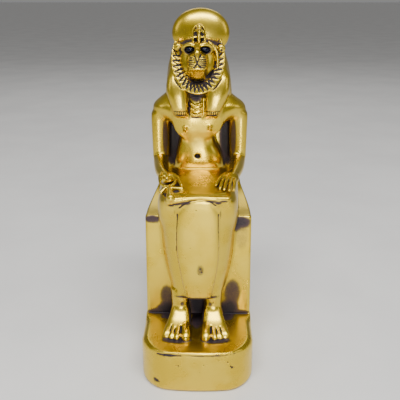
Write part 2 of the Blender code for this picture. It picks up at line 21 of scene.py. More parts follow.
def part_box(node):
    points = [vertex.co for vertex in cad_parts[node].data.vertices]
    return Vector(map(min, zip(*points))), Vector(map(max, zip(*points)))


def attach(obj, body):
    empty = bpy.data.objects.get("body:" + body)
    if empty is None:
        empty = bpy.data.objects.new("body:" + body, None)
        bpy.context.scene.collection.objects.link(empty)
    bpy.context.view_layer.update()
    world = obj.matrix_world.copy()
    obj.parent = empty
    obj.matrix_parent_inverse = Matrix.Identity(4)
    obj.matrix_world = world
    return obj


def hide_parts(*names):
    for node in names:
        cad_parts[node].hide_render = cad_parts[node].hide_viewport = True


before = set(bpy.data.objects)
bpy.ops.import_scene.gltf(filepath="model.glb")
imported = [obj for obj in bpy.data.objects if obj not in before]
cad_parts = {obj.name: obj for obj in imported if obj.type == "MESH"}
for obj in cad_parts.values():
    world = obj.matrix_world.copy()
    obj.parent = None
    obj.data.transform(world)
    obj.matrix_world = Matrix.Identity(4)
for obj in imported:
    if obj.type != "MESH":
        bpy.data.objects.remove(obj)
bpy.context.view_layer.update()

LOG = logging.getLogger("statue")

Number = Union[int, float]
Point = tuple[float, float, float]
Path = Sequence[tuple[float, float, float, float]]
Rows = Sequence[tuple[float, float, float, float, float]]
Array = np.ndarray

FIGURE_HEIGHT_MM = 120.0
FAR = 6.0
REACH_BEYOND = 2.2
FACE_X = -0.40


# Distance forms

def smooth_min(a: Array, b: Array, blend: float) -> Array:
    """Lesser of two distances, run together within the blend."""
    if blend <= 0.0:
        return np.minimum(a, b)
    overlap = np.maximum(blend - np.abs(a - b), 0.0) / blend
    return np.minimum(a, b) - overlap * overlap * (blend / 4.0)


def smooth_max(a: Array, b: Array, blend: float) -> Array:
    """Greater of two distances, run together within the blend."""
    return -smooth_min(-a, -b, blend)


def glide(stations: Sequence[float], values: Sequence[float], where: Array) -> Array:
    """Smooth curve through values at rising stations, with no overshoot.

    Args:
        stations: Rising places along the axis.
        values: Value at each station.
        where: Places to read the curve at.

    Returns:
        The curve's value at each place, held level past the ends.
    """
    t = np.asarray(stations, np.float64)
    v = np.asarray(values, np.float64)
    step = np.diff(t)
    rise = np.diff(v) / step
    slope = np.zeros_like(v)
    slope[0], slope[-1] = rise[0], rise[-1]
    same = rise[:-1] * rise[1:] > 0
    total = np.where(same, rise[:-1] + rise[1:], 1.0)
    slope[1:-1] = np.where(same, 2 * rise[:-1] * rise[1:] / total, 0.0)
    place = np.clip(where, t[0], t[-1])
    i = np.clip(np.searchsorted(t, place, side="right") - 1, 0, len(t) - 2)
    h = step[i]
    s = (place - t[i]) / h
    value = (v[i] * (1 + 2 * s) * (1 - s) ** 2 + v[i + 1] * s * s * (3 - 2 * s)
             + slope[i] * h * s * (1 - s) ** 2 - slope[i + 1] * h * s * s * (1 - s))
    return value.astype(np.float32)


class Form(Protocol):
    """A solid given by its distance, negative inside."""

    def reach(self) -> tuple[Point, Point]:
        """Lowest and highest corner of the form."""

    def distance(self, x: Array, y: Array, z: Array) -> Array:
        """Signed distance at each point."""


@dataclass(frozen=True)
class Ball:
    """Ellipsoid.

    Args:
        centre: Middle, in figure millimetres.
        half: Half sizes along its own axes.
        tilt: Degrees about X, then Y, then Z.
    """

    centre: Point
    half: Point
    tilt: Point = (0.0, 0.0, 0.0)

    def turn(self) -> Matrix:
        """Rotation from the figure's axes to the ball's own."""
        about = [Matrix.Rotation(math.radians(a), 3, axis) for a, axis in zip(self.tilt, "XYZ")]
        return (about[2] @ about[1] @ about[0]).transposed()

    def reach(self) -> tuple[Point, Point]:
        """Lowest and highest corner of the form."""
        size = max(self.half) if any(self.tilt) else None
        spread = [size] * 3 if size else list(self.half)
        low = tuple(c - s for c, s in zip(self.centre, spread))
        high = tuple(c + s for c, s in zip(self.centre, spread))
        return low, high

    def distance(self, x: Array, y: Array, z: Array) -> Array:
        """Signed distance at each point.

        Args:
            x: Places across, in millimetres.
            y: Places in depth.
            z: Heights.

        Returns:
            Millimetres to the surface, below zero inside.
        """
        dx, dy, dz = x - self.centre[0], y - self.centre[1], z - self.centre[2]
        if any(self.tilt):
            m = self.turn()
            dx, dy, dz = [m[i][0] * dx + m[i][1] * dy + m[i][2] * dz for i in range(3)]
        a, b, c = self.half
        near = np.sqrt((dx / a) ** 2 + (dy / b) ** 2 + (dz / c) ** 2)
        far = np.sqrt((dx / (a * a)) ** 2 + (dy / (b * b)) ** 2 + (dz / (c * c)) ** 2)
        return (near * (near - 1.0) / np.maximum(far, 1e-6)).astype(np.float32)


def through(path: Path, steps: int = 5) -> list[tuple[float, ...]]:
    """Points of a smooth curve through a path, radius included.

    Args:
        path: Points (x, y, z, radius).
        steps: Points put in for each stretch of the path.

    Returns:
        The finer path.
    """
    if len(path) < 3:
        return [tuple(p) for p in path]
    points = [np.array(p, float) for p in path]
    points = [2 * points[0] - points[1]] + points + [2 * points[-1] - points[-2]]
    finer = []
    for a, b, c, d in zip(points, points[1:], points[2:], points[3:]):
        for k in range(steps):
            t = k / steps
            q = 0.5 * (2 * b + (c - a) * t + (2 * a - 5 * b + 4 * c - d) * t * t
                       + (3 * b - a - 3 * c + d) * t ** 3)
            finer.append(tuple(q))
    finer.append(tuple(points[-2]))
    return finer


@dataclass(frozen=True)
class Limb:
    """Round rod of changing thickness along a path.

    Args:
        path: Points (x, y, z, radius).
        squash: How much wider the rod is than high; 1 is round.
    """

    path: Path
    squash: float = 1.0

    def reach(self) -> tuple[Point, Point]:
        """Lowest and highest corner of the form."""
        wide = max(1.0, self.squash)
        low = tuple(min(p[i] - p[3] * wide for p in self.path) for i in range(3))
        high = tuple(max(p[i] + p[3] * wide for p in self.path) for i in range(3))
        return low, high

    def pieces(self) -> list["Limb"]:
        """The rod's single stretches."""
        return [Limb((a, b), self.squash) for a, b in zip(self.path, self.path[1:])]

    def distance(self, x: Array, y: Array, z: Array) -> Array:
        """Signed distance at each point.

        Args:
            x: Places across, in millimetres.
            y: Places in depth.
            z: Heights.

        Returns:
            Millimetres to the surface, below zero inside.
        """
        nearest = None
        for a, b in zip(self.path, self.path[1:]):
            ax, ay, az = x - a[0], y - a[1], z - a[2]
            bx, by, bz = b[0] - a[0], b[1] - a[1], b[2] - a[2]
            along = max(bx * bx + by * by + bz * bz, 1e-9)
            t = np.clip((ax * bx + ay * by + az * bz) / along, 0.0, 1.0)
            ex, ey, ez = ax - bx * t, ay - by * t, az - bz * t
            if self.squash != 1.0:
                ez = ez * self.squash
            d = np.sqrt(ex * ex + ey * ey + ez * ez) - (a[3] + (b[3] - a[3]) * t)
            nearest = d if nearest is None else np.minimum(nearest, d)
        return nearest.astype(np.float32)


class Along(Enum):
    """Axis that a loft's sections are threaded on."""

    UP = "up"
    DEEP = "deep"


@dataclass(frozen=True)
class Loft:
    """Body run smoothly through rounded sections.

    Args:
        rows: Each is the place along the axis, the centre x, the half width, and the lowest and
            highest value across: front and back y when upright, bottom and top z when lying.
        power: 2 for ovals, more for squarer sections.
        along: Axis that the sections are threaded on.
        ease: Rounding of the two ends.
    """

    rows: Rows
    power: float = 2.4
    along: Along = Along.UP
    ease: float = 0.6

    def reach(self) -> tuple[Point, Point]:
        """Lowest and highest corner of the form."""
        start, end = self.rows[0][0], self.rows[-1][0]
        left = min(r[1] - r[2] for r in self.rows)
        right = max(r[1] + r[2] for r in self.rows)
        low = min(r[3] for r in self.rows)
        high = max(r[4] for r in self.rows)
        if self.along is Along.UP:
            return (left, low, start), (right, high, end)
        return (left, start, low), (right, end, high)

    def distance(self, x: Array, y: Array, z: Array) -> Array:
        """Signed distance at each point.

        Args:
            x: Places across, in millimetres.
            y: Places in depth.
            z: Heights.

        Returns:
            Millimetres to the surface, below zero inside.
        """
        place, across = (z, y) if self.along is Along.UP else (y, z)
        stations = [r[0] for r in self.rows]
        centre, half, low, high = [glide(stations, [r[i] for r in self.rows], place) for i in range(1, 5)]
        middle, spread = (low + high) / 2, (high - low) / 2
        u = np.abs(x - centre) / half + 1e-4
        v = np.abs(across - middle) / spread + 1e-4
        n = self.power
        un, vn = u ** (n - 1), v ** (n - 1)
        size = (un * u + vn * v) ** (1 / n)
        slope = size ** (1 - n) * np.sqrt((un / half) ** 2 + (vn / spread) ** 2)
        ends = np.maximum(stations[0] - place, place - stations[-1])
        return smooth_max((size - 1) / slope, ends, self.ease).astype(np.float32)


@dataclass(frozen=True)
class Block:
    """Plinth block with a slightly bowed front and corners rounded in plan.

    Args:
        half_x: Half width at the foot.
        half_y: Half depth at the foot.
        top: Height of the upper face.
        batter: How far the front and back lean in by the top.
        bow: How far the front falls back from its middle to the sides.
        front_corner: Plan radius of the front corners.
        back_corner: Plan radius of the back corners.
        foot_round: Radius of the lower edge.
        top_round: Radius of the upper edge in front.
        side_round: Radius of the upper edge beside the feet.
        side_back: y where the throne covers the upper edge.
    """

    half_x: float = 18.95
    half_y: float = 29.5
    top: float = 15.1
    batter: float = 0.6
    bow: float = 2.0
    front_corner: float = 9.5
    back_corner: float = 3.0
    foot_round: float = 1.7
    top_round: float = 0.4
    side_round: float = 2.4
    side_back: float = -5.0

    def reach(self) -> tuple[Point, Point]:
        """Lowest and highest corner of the form."""
        return (-self.half_x, -self.half_y, 0.0), (self.half_x, self.half_y, self.top)

    def distance(self, x: Array, y: Array, z: Array) -> Array:
        """Signed distance at each point.

        Args:
            x: Places across, in millimetres.
            y: Places in depth.
            z: Heights.

        Returns:
            Millimetres to the surface, below zero inside.
        """
        wide = np.abs(x) / self.half_x
        lean = self.batter * np.clip(z / self.top, 0.0, 1.0) + np.where(y < 0, self.bow * wide * wide, 0.0)
        corner = np.where(y < 0, self.front_corner, self.back_corner)
        qx = np.abs(x) - self.half_x + corner
        qy = np.abs(y) - (self.half_y - lean) + corner
        plan = np.minimum(np.maximum(qx, qy), 0) + np.hypot(np.maximum(qx, 0), np.maximum(qy, 0)) - corner
        beside = np.clip((wide - 0.62) / 0.3, 0.0, 1.0) * np.clip((self.side_back - y) / 4.0, 0.0, 1.0)
        upper = self.top_round + (self.side_round - self.top_round) * beside
        edge = np.where(z < self.top / 2, self.foot_round, upper)
        a = plan + edge
        b = np.abs(z - self.top / 2) - self.top / 2 + edge
        return (np.minimum(np.maximum(a, b), 0) + np.hypot(np.maximum(a, 0), np.maximum(b, 0))
                - edge).astype(np.float32)


@dataclass(frozen=True)
class Seat:
    """Throne block whose seat rises and narrows to a low back rest.

    Args:
        rows: Each is y, the width's share and the height of the seat there.
        foot: Half width at the foot.
        top: Half width at the seat's front.
        low: Height of the foot.
        edge: Rounding of the edges.
    """

    rows: Sequence[tuple[float, float, float]]
    foot: float
    top: float
    low: float
    edge: float

    def reach(self) -> tuple[Point, Point]:
        """Lowest and highest corner of the form."""
        high = max(r[2] for r in self.rows)
        return (-self.foot, self.rows[0][0], self.low - 2), (self.foot, self.rows[-1][0], high)

    def distance(self, x: Array, y: Array, z: Array) -> Array:
        """Signed distance at each point.

        Args:
            x: Places across, in millimetres.
            y: Places in depth.
            z: Heights.

        Returns:
            Millimetres to the surface, below zero inside.
        """
        stations = [r[0] for r in self.rows]
        share = glide(stations, [r[1] for r in self.rows], y)
        seat = glide(stations, [r[2] for r in self.rows], y)
        rise = np.clip((z - self.low) / (seat - self.low), 0.0, 1.0)
        half = self.foot * (0.35 + 0.65 * share) * (1 - rise) + self.top * share * rise
        sides = np.abs(x) - half
        ends = np.maximum(stations[0] - y, y - stations[-1])
        body = smooth_max(smooth_max(sides, ends, self.edge), (z - seat) * 0.96, self.edge)
        return np.maximum(body, self.low - 2 - z).astype(np.float32)


@dataclass(frozen=True)
class Skirt:
    """Tight dress over two shins: flat front, slanting sides, square behind.

    Args:
        rows: Each is z, the panel's half width, the outer half width, the front y and the y where
            the slanting sides end.
        back: How far back it runs.
        soft: Rounding between its faces.
    """

    rows: Rows
    back: float = 2.0
    soft: float = 3.0

    def reach(self) -> tuple[Point, Point]:
        """Lowest and highest corner of the form."""
        wide = max(r[2] for r in self.rows)
        front = min(r[3] for r in self.rows)
        return (-wide, front, self.rows[0][0]), (wide, self.back, self.rows[-1][0])

    def distance(self, x: Array, y: Array, z: Array) -> Array:
        """Signed distance at each point.

        Args:
            x: Places across, in millimetres.
            y: Places in depth.
            z: Heights.

        Returns:
            Millimetres to the surface, below zero inside.
        """
        stations = [r[0] for r in self.rows]
        panel, half, front, side_y = [glide(stations, [r[i] for r in self.rows], z) for i in range(1, 5)]
        run_x, run_y = half - panel, side_y - front
        length = np.hypot(run_x, run_y)
        wide = np.abs(x)
        slant = ((wide - panel) * run_y - (y - front) * run_x) / length
        body = smooth_max(smooth_max(front - y, slant, self.soft), wide - half, self.soft)
        ends = np.maximum(stations[0] - z, z - stations[-1])
        return smooth_max(np.maximum(body, y - self.back), ends, 0.7).astype(np.float32)


@dataclass(frozen=True)
class Facets:
    """Upright body bounded by flat faces whose places change with height.

    Args:
        faces: Each face's direction in degrees from +X towards +Y, and its (z, offset) stations.
        low: Height of the lower end.
        high: Height of the upper end.
        soft: Rounding between the faces.
    """

    faces: tuple[tuple[float, tuple[tuple[float, float], ...]], ...]
    low: float
    high: float
    soft: float = 1.0

    def reach(self) -> tuple[Point, Point]:
        """Lowest and highest corner of the form."""
        spans = {0: [-25.0, 25.0], 1: [-25.0, 28.0]}
        for angle, stations in self.faces:
            offsets = [offset for _, offset in stations]
            if angle % 90 == 0:
                axis = 0 if angle % 180 == 0 else 1
                if angle in (0, 90):
                    spans[axis][1] = max(offsets)
                else:
                    spans[axis][0] = -max(offsets)
        return (spans[0][0], spans[1][0], self.low), (spans[0][1], spans[1][1], self.high)

    def distance(self, x: Array, y: Array, z: Array) -> Array:
        """Signed distance at each point.

        Args:
            x: Places across, in millimetres.
            y: Places in depth.
            z: Heights.

        Returns:
            Millimetres to the surface, below zero inside.
        """
        body = smooth_max(self.low - z, z - self.high, 0.5)
        for angle, stations in self.faces:
            a = math.radians(angle)
            offset = glide([s[0] for s in stations], [s[1] for s in stations], z)
            body = smooth_max(body, math.cos(a) * x + math.sin(a) * y - offset, self.soft)
        return body.astype(np.float32)


@dataclass(frozen=True)
class Oval:
    """Line around the face that the ruff lies on.

    Args:
        x: Middle.
        z: Height of the middle.
        half_x: Half width.
        half_z: Half height.
        front: y at the bottom.
        rise: How much further back it lies at the sides.
        lean: How much further forward the outer edge lies, to a millimetre.
        sweep: Angle either side of the bottom, in radians, that the ruff covers.
    """

    x: float = FACE_X + 0.1
    z: float = 104.3
    half_x: float = 7.5
    half_z: float = 9.4
    front: float = 3.1
    rise: float = 4.7
    lean: float = 0.25
    sweep: float = math.radians(121)

    def point(self, angle: float, out: float, sink: float = 0.0) -> Point:
        """Point at an angle from the bottom, with out counted from the middle line."""
        y = self.front + self.rise * (1 - math.cos(angle)) - self.lean * out + sink
        across = self.x + (self.half_x + out) * math.sin(angle)
        return across, y, self.z - (self.half_z + out) * math.cos(angle)


@dataclass(frozen=True)
class Ruff:
    """Flat band around the face.

    Args:
        ring: Gives the band's middle and slope.
        half: Half width of the band at the sides.
        deep: Thickness behind its face.
    """

    ring: Oval
    half: float
    deep: float

    def reach(self) -> tuple[Point, Point]:
        """Lowest and highest corner of the form."""
        r = self.ring
        wide, tall = r.half_x + self.half + 1, r.half_z + self.half + 1
        high = (r.x + wide, r.front + 2 * r.rise + self.deep, r.z + tall * 0.6)
        return (r.x - wide, r.front, r.z - tall), high

    def distance(self, x: Array, y: Array, z: Array) -> Array:
        """Signed distance at each point.

        Args:
            x: Places across, in millimetres.
            y: Places in depth.
            z: Heights.

        Returns:
            Millimetres to the surface, below zero inside.
        """
        r = self.ring
        u, v = (x - r.x) / r.half_x, (z - r.z) / r.half_z
        size = np.sqrt(u * u + v * v) + 1e-4
        slope = np.sqrt((u / r.half_x) ** 2 + (v / r.half_z) ** 2) / size
        out = (size - 1) / slope
        below = -v / size
        face = r.front + r.rise * (1 - below) - r.lean * out
        side = np.abs(out) - (self.half + 0.25 * np.maximum(below, 0.0))
        body = smooth_max(side, face - y, 0.7)
        open_top = (math.cos(r.sweep) - below) * r.half_z
        return np.maximum(np.maximum(body, y - face - self.deep), open_top).astype(np.float32)


def band(*runs: tuple[float, float, float]) -> Array:
    """Grid lines of one axis from runs of (start, end, step)."""
    lines = [np.arange(a, b - step / 2, step) for a, b, step in runs]
    return np.concatenate(lines + [np.array([runs[-1][1]])]).astype(np.float32)


@dataclass
class Clay:
    """Block of distance values that forms are added to and cut from.

    Args:
        coarse: Factor on the grid's steps; 1 is full fineness.
    """

    coarse: float = 1.0
    lines: tuple[Array, Array, Array] = field(init=False)
    whole: Optional[Array] = field(init=False, default=None)
    field: Array = field(init=False)

    def __post_init__(self) -> None:
        """Lay out a grid that is finest around the head, the hands and the feet."""
        c = self.coarse
        self.lines = (
            band((-20.6, -11.6, 0.28 * c), (-11.6, 11.6, 0.145 * c), (11.6, 20.6, 0.28 * c)),
            band((-31.0, -24.0, 0.3 * c), (-24.0, -2.4, 0.2 * c), (-2.4, 9.6, 0.15 * c),
                 (9.6, 31.0, 0.31 * c)),
            band((-1.0, 14.6, 0.3 * c), (14.6, 19.0, 0.2 * c), (19.0, 58.0, 0.3 * c), (58.0, 69.0, 0.19 * c),
                 (69.0, 84.0, 0.26 * c), (84.0, 93.0, 0.17 * c), (93.0, 110.0, 0.14 * c),
                 (110.0, 116.0, 0.17 * c), (116.0, 121.4, 0.3 * c)))
        self.field = np.full([len(a) for a in self.lines], FAR, np.float32)

    def window(self, form: Form, beyond: float) -> tuple[tuple[slice, ...], list[Array]]:
        """Part of the grid around a form, as slices and as broadcasting grid lines.

        Args:
            form: Form to be worked in.
            beyond: Room left around it.

        Returns:
            The slices, and the grid lines within them.
        """
        low, high = form.reach()
        slices, places = [], []
        for i, lines in enumerate(self.lines):
            a = max(int(np.searchsorted(lines, low[i] - beyond)) - 1, 0)
            b = min(int(np.searchsorted(lines, high[i] + beyond)) + 1, len(lines))
            shape = [1, 1, 1]
            shape[i] = b - a
            slices.append(slice(a, b))
            places.append(lines[a:b].reshape(shape))
        return tuple(slices), places

    def add(self, form: Form, blend: float = 0.0) -> None:
        """Join a form on, run together with what is there within the blend.

        Args:
            form: Form to join on.
            blend: Width over which it runs together.
        """
        if isinstance(form, Limb) and blend == 0.0 and len(form.path) > 2:
            for piece in form.pieces():
                self.add(piece)
            return
        part, (x, y, z) = self.window(form, REACH_BEYOND + blend)
        self.field[part] = smooth_min(self.field[part], form.distance(x, y, z), blend)

    def cut(self, form: Form, blend: float = 0.0) -> None:
        """Take a form away, with the edge softened by the blend.

        Args:
            form: Form to take away.
            blend: Width of the softened edge.
        """
        if isinstance(form, Limb) and len(form.path) > 2:
            for piece in form.pieces():
                self.cut(piece, blend)
            return
        part, (x, y, z) = self.window(form, 0.8 + blend)
        self.field[part] = smooth_max(self.field[part], -form.distance(x, y, z), blend)

    def set_hard(self) -> None:
        """Remember the form as it is before anything is carved away."""
        self.whole = self.field.copy()

    def front_at(self, x: float, z: float) -> float:
        """y of the uncarved form's foremost surface at a place seen from the front.

        Args:
            x: Place across.
            z: Height.

        Returns:
            The surface's y in millimetres.
        """
        i, k = [int(np.abs(self.lines[axis] - place).argmin()) for axis, place in ((0, x), (2, z))]
        column = self.whole[i, :, k]
        j = max(int(np.argmax(column < 0)), 1)
        share = column[j - 1] / (column[j - 1] - column[j])
        return float(self.lines[1][j - 1] + share * (self.lines[1][j] - self.lines[1][j - 1]))

    def engrave(self, line: Sequence[tuple[float, float, float]], depth: float = 0.2,
                step: float = 0.5) -> None:
        """Cut a line into the front, following its surface.

        Args:
            line: Points (x, z, radius), seen from the front.
            depth: How deep it is cut.
            step: Longest stretch that is cut straight.
        """
        path = []
        for (ax, az, ar), (bx, bz, br) in zip(line, line[1:]):
            count = max(int(math.hypot(bx - ax, bz - az) / step), 1)
            path += [(ax + (bx - ax) * n / count, az + (bz - az) * n / count, ar + (br - ar) * n / count)
                     for n in range(count)]
        path.append(line[-1])
        self.cut(Limb([(x, self.front_at(x, z) + min(depth, r) - r, z, r) for x, z, r in path]), 0.05)

    def pit(self, x: float, z: float, radius: float) -> None:
        """Sink a small round pit into the front."""
        self.cut(Ball((x, self.front_at(x, z), z), (radius, radius, radius * 0.85)), 0.06)

    def depth_carved(self, points: Array) -> Array:
        """How far below the uncarved surface each point lies, in millimetres.

        Args:
            points: Points in figure millimetres.

        Returns:
            A depth for each point.
        """
        places = []
        for n, lines in enumerate(self.lines):
            index = np.clip(np.searchsorted(lines, points[:, n]) - 1, 0, len(lines) - 2)
            share = (points[:, n] - lines[index]) / (lines[index + 1] - lines[index])
            places.append((index, np.clip(share, 0.0, 1.0)))
        total = np.zeros(len(points))
        for i in (0, 1):
            for j in (0, 1):
                for k in (0, 1):
                    weight = np.ones(len(points))
                    corner = []
                    for step, (index, share) in zip((i, j, k), places):
                        weight *= share if step else 1 - share
                        corner.append(index + step)
                    total += weight * self.whole[tuple(corner)]
        return -total

    def skin(self) -> tuple[Array, Array]:
        """Quads on the surface where the distance is nought.

        Returns:
            Points, and the four point numbers of each quad.
        """
        values = self.field
        inside = values < 0
        count = np.zeros([n - 1 for n in values.shape], np.uint8)
        corners = [(i, j, k) for i in (0, 1) for j in (0, 1) for k in (0, 1)]
        for i, j, k in corners:
            count += inside[i:i + count.shape[0], j:j + count.shape[1], k:k + count.shape[2]]
        cells = np.flatnonzero((count > 0) & (count < 8))
        ci, cj, ck = np.unravel_index(cells, count.shape)
        number = np.full(count.size, -1, np.int32)
        number[cells] = np.arange(len(cells), dtype=np.int32)
        number = number.reshape(count.shape)
        held = {c: values[ci + c[0], cj + c[1], ck + c[2]] for c in corners}
        total = np.zeros((len(cells), 3), np.float64)
        hits = np.zeros(len(cells), np.float64)
        for corner in corners:
            for axis in range(3):
                if corner[axis]:
                    continue
                other = tuple(1 if n == axis else c for n, c in enumerate(corner))
                a, b = held[corner], held[other]
                crosses = (a < 0) != (b < 0)
                t = np.where(crosses, a / np.where(crosses, a - b, 1.0), 0.0)
                for n, index in enumerate((ci, cj, ck)):
                    lines = self.lines[n]
                    start = lines[index + corner[n]]
                    if n == axis:
                        start = start + t * (lines[index + 1] - lines[index])
                    total[:, n] += np.where(crosses, start, 0.0)
                hits += crosses
        points = total / hits[:, None]
        quads = []
        for axis in range(3):
            low = [slice(None)] * 3
            high = [slice(None)] * 3
            low[axis], high[axis] = slice(0, -1), slice(1, None)
            a, b = inside[tuple(low)], inside[tuple(high)]
            i, j, k = np.nonzero(a != b)
            side = [n for n in range(3) if n != axis]
            place = [i, j, k]
            keep = np.ones(len(i), bool)
            for n in side:
                keep &= (place[n] > 0) & (place[n] < values.shape[n] - 1)
            place = [p[keep] for p in place]
            out = a[tuple(place)] if axis != 1 else ~a[tuple(place)]
            ring = []
            for p, q in ((1, 1), (0, 1), (0, 0), (1, 0)):
                cell = list(place)
                cell[side[0]] = cell[side[0]] - p
                cell[side[1]] = cell[side[1]] - q
                ring.append(number[tuple(cell)])
            quad = np.stack(ring, 1)
            quad[~out] = quad[~out][:, ::-1]
            quads.append(quad)
        return points, np.concatenate(quads)


def relax(points: Array, quads: Array, rounds: int, push: float = 0.5, pull: float = -0.52) -> Array:
    """Even out the skin without shrinking it.

    Args:
        points: Points of the skin.
        quads: Its quads.
        rounds: Pairs of passes.
        push: Share moved to the neighbours' middle in the first pass.
        pull: Share moved back in the second.

    Returns:
        The new points.
    """
    ends = np.concatenate([quads[:, [0, 1]], quads[:, [1, 2]], quads[:, [2, 3]], quads[:, [3, 0]]])
    size = len(points)
    share = np.bincount(ends[:, 0], minlength=size) + np.bincount(ends[:, 1], minlength=size)
    share = np.maximum(share, 1)
    for _ in range(rounds):
        for amount in (push, pull):
            middle = np.empty_like(points)
            for n in range(3):
                column = points[:, n]
                middle[:, n] = (np.bincount(ends[:, 0], column[ends[:, 1]], size)
                                + np.bincount(ends[:, 1], column[ends[:, 0]], size)) / share
            points = points + amount * (middle - points)
    return points


# Sub-assemblies of the casting

@dataclass(frozen=True)
class StainAndShade:
    """Dark patch laid on the metal: some are stains of the metal, others painted shadow, painted shade and
    painted dark reflection.

    Args:
        centre: Middle of the patch.
        half: Half sizes.
        strength: Darkening at the middle; 1 is black.
    """

    centre: Point
    half: Point
    strength: float = 1.0

    def share(self, points: Array) -> Array:
        """Toning that the patch gives each point."""
        away = np.linalg.norm((points - np.array(self.centre)) / np.array(self.half), axis=1)
        inside = np.clip((1.25 - away) / 0.75, 0.0, 1.0)
        return self.strength * inside * inside * (3 - 2 * inside)


def pair(x: float, y: float, z: float, half: Point, strength: float = 1.0) -> tuple[StainAndShade, StainAndShade]:
    """Dark patch on both sides of the middle."""
    return StainAndShade((-x, y, z), half, strength), StainAndShade((x, y, z), half, strength)


class Part(Protocol):
    """Sub-assembly of the casting."""

    stains_and_shade: tuple[StainAndShade, ...]

    def shape(self, clay: Clay) -> None:
        """Add the part's masses."""

    def carve(self, clay: Clay) -> None:
        """Cut its lines and hollows."""


@dataclass(frozen=True)
class Base:
    """Plinth and throne, with the flaws of the cast."""

    plinth: Block = Block()
    throne: Seat = Seat(((-4.3, 1.0, 53.3), (2.0, 0.995, 53.5), (10.0, 0.955, 54.5), (16.0, 0.90, 56.0),
                         (20.0, 0.845, 58.2), (23.0, 0.82, 60.6), (25.0, 0.82, 61.6), (27.5, 0.82, 61.8)),
                        18.75, 18.25, 15.1, 1.0)
    pits: tuple[Point, ...] = (
        (-6.7, 10.2, 0.26), (-6.0, 10.1, 0.34), (-5.3, 10.2, 0.24), (2.3, 10.6, 0.22), (3.4, 10.9, 0.18),
        (-7.4, 7.3, 0.24), (1.0, 7.9, 0.26), (1.6, 8.6, 0.18), (10.2, 11.5, 0.28), (11.1, 9.8, 0.28),
        (11.7, 9.3, 0.42), (12.6, 9.2, 0.22), (13.8, 9.1, 0.2), (-13.9, 3.9, 0.3), (-13.2, 3.4, 0.42),
        (-12.5, 3.1, 0.3), (-4.4, 12.1, 0.16), (7.2, 12.3, 0.2), (-15.2, 9.0, 0.2))
    scratches: tuple[tuple[float, float, float, float], ...] = (
        (15.0, 41.3, 15.6, 37.6), (15.9, 41.0, 15.2, 38.4), (14.6, 39.0, 15.0, 36.4))
    # Painted shade: the patches beside the shins, where shins, throne and plinth meet, along the throne's
    # foot and between the feet, and the painted shadow under the plinth's front ridge. The patches high on
    # the throne front, the blotch low on the plinth and the pit are marks of the metal.
    stains_and_shade: tuple[StainAndShade, ...] = (
        StainAndShade((-15.8, -4.3, 51.9), (3.0, 1.5, 1.5), 0.75), StainAndShade((14.6, -4.3, 51.0), (3.6, 1.5, 2.2), 0.85),
        StainAndShade((13.0, -4.3, 49.3), (1.6, 1.5, 1.6), 0.6), StainAndShade((15.0, -4.3, 46.0), (3.0, 1.5, 7.0), 0.26),
        StainAndShade((12.2, -4.3, 23.6), (3.2, 1.5, 6.0), 0.62), StainAndShade((-11.4, -4.3, 22.0), (2.6, 1.5, 5.0), 0.60),
        StainAndShade((-11.2, -4.5, 17.0), (4.2, 2.0, 2.4), 1.0), StainAndShade((11.2, -4.5, 17.4), (3.6, 2.2, 3.2), 1.0),
        StainAndShade((-15.5, -4.3, 15.6), (3.5, 1.2, 1.0), 0.8), StainAndShade((15.5, -4.3, 15.7), (3.5, 1.2, 0.8), 0.7),
        StainAndShade((-11.0, -6.0, 15.1), (2.4, 2.6, 1.0), 0.9), StainAndShade((10.6, -6.4, 15.1), (2.2, 3.0, 1.0), 0.9),
        StainAndShade((-0.4, -9.0, 15.1), (2.0, 6.0, 1.4), 0.95), StainAndShade((-0.4, -4.3, 20.0), (3.0, 1.5, 8.0), 1.0),
        StainAndShade((-9.6, -28.9, 14.0), (3.4, 1.2, 0.6), 0.85), StainAndShade((4.0, -29.0, 14.1), (9.0, 1.2, 0.4), 0.45),
        StainAndShade((-13.3, -26.9, 3.5), (1.6, 1.5, 0.9), 0.55), StainAndShade((-12.7, -7.4, 15.1), (0.7, 0.7, 0.6), 0.6))

    def shape(self, clay: Clay) -> None:
        """Add the two blocks."""
        clay.add(self.throne)
        clay.add(self.plinth, 0.3)

    def carve(self, clay: Clay) -> None:
        """Sink the line under the front ridge, the casting pits and a few scratches.

        Args:
            clay: Clay that is cut.
        """
        clay.engrave([(float(x), 14.1 + 0.02 * float(x), 0.14 + 0.18 * math.exp(-((float(x) + 9) / 3.5) ** 2))
                      for x in np.linspace(-13.2, 12.6, 17)], 0.3)
        for x, z, radius in self.pits:
            clay.pit(x, z, radius)
        clay.cut(Ball((-12.67, -7.4, 15.15), (0.3, 0.35, 0.3)), 0.08)
        for ax, az, bx, bz in self.scratches:
            clay.engrave(((ax, az, 0.1), (bx, bz, 0.1)), 0.08)
        for side in (-1, 1):
            clay.cut(Limb(((side * 18.0, -4.45, 52.0, 0.2), (side * 12.4, -4.45, 51.9, 0.26))), 0.15)
            clay.cut(Limb(((side * 18.0, -4.4, 15.2, 0.2), (side * 9.5, -4.4, 15.2, 0.3))), 0.15)


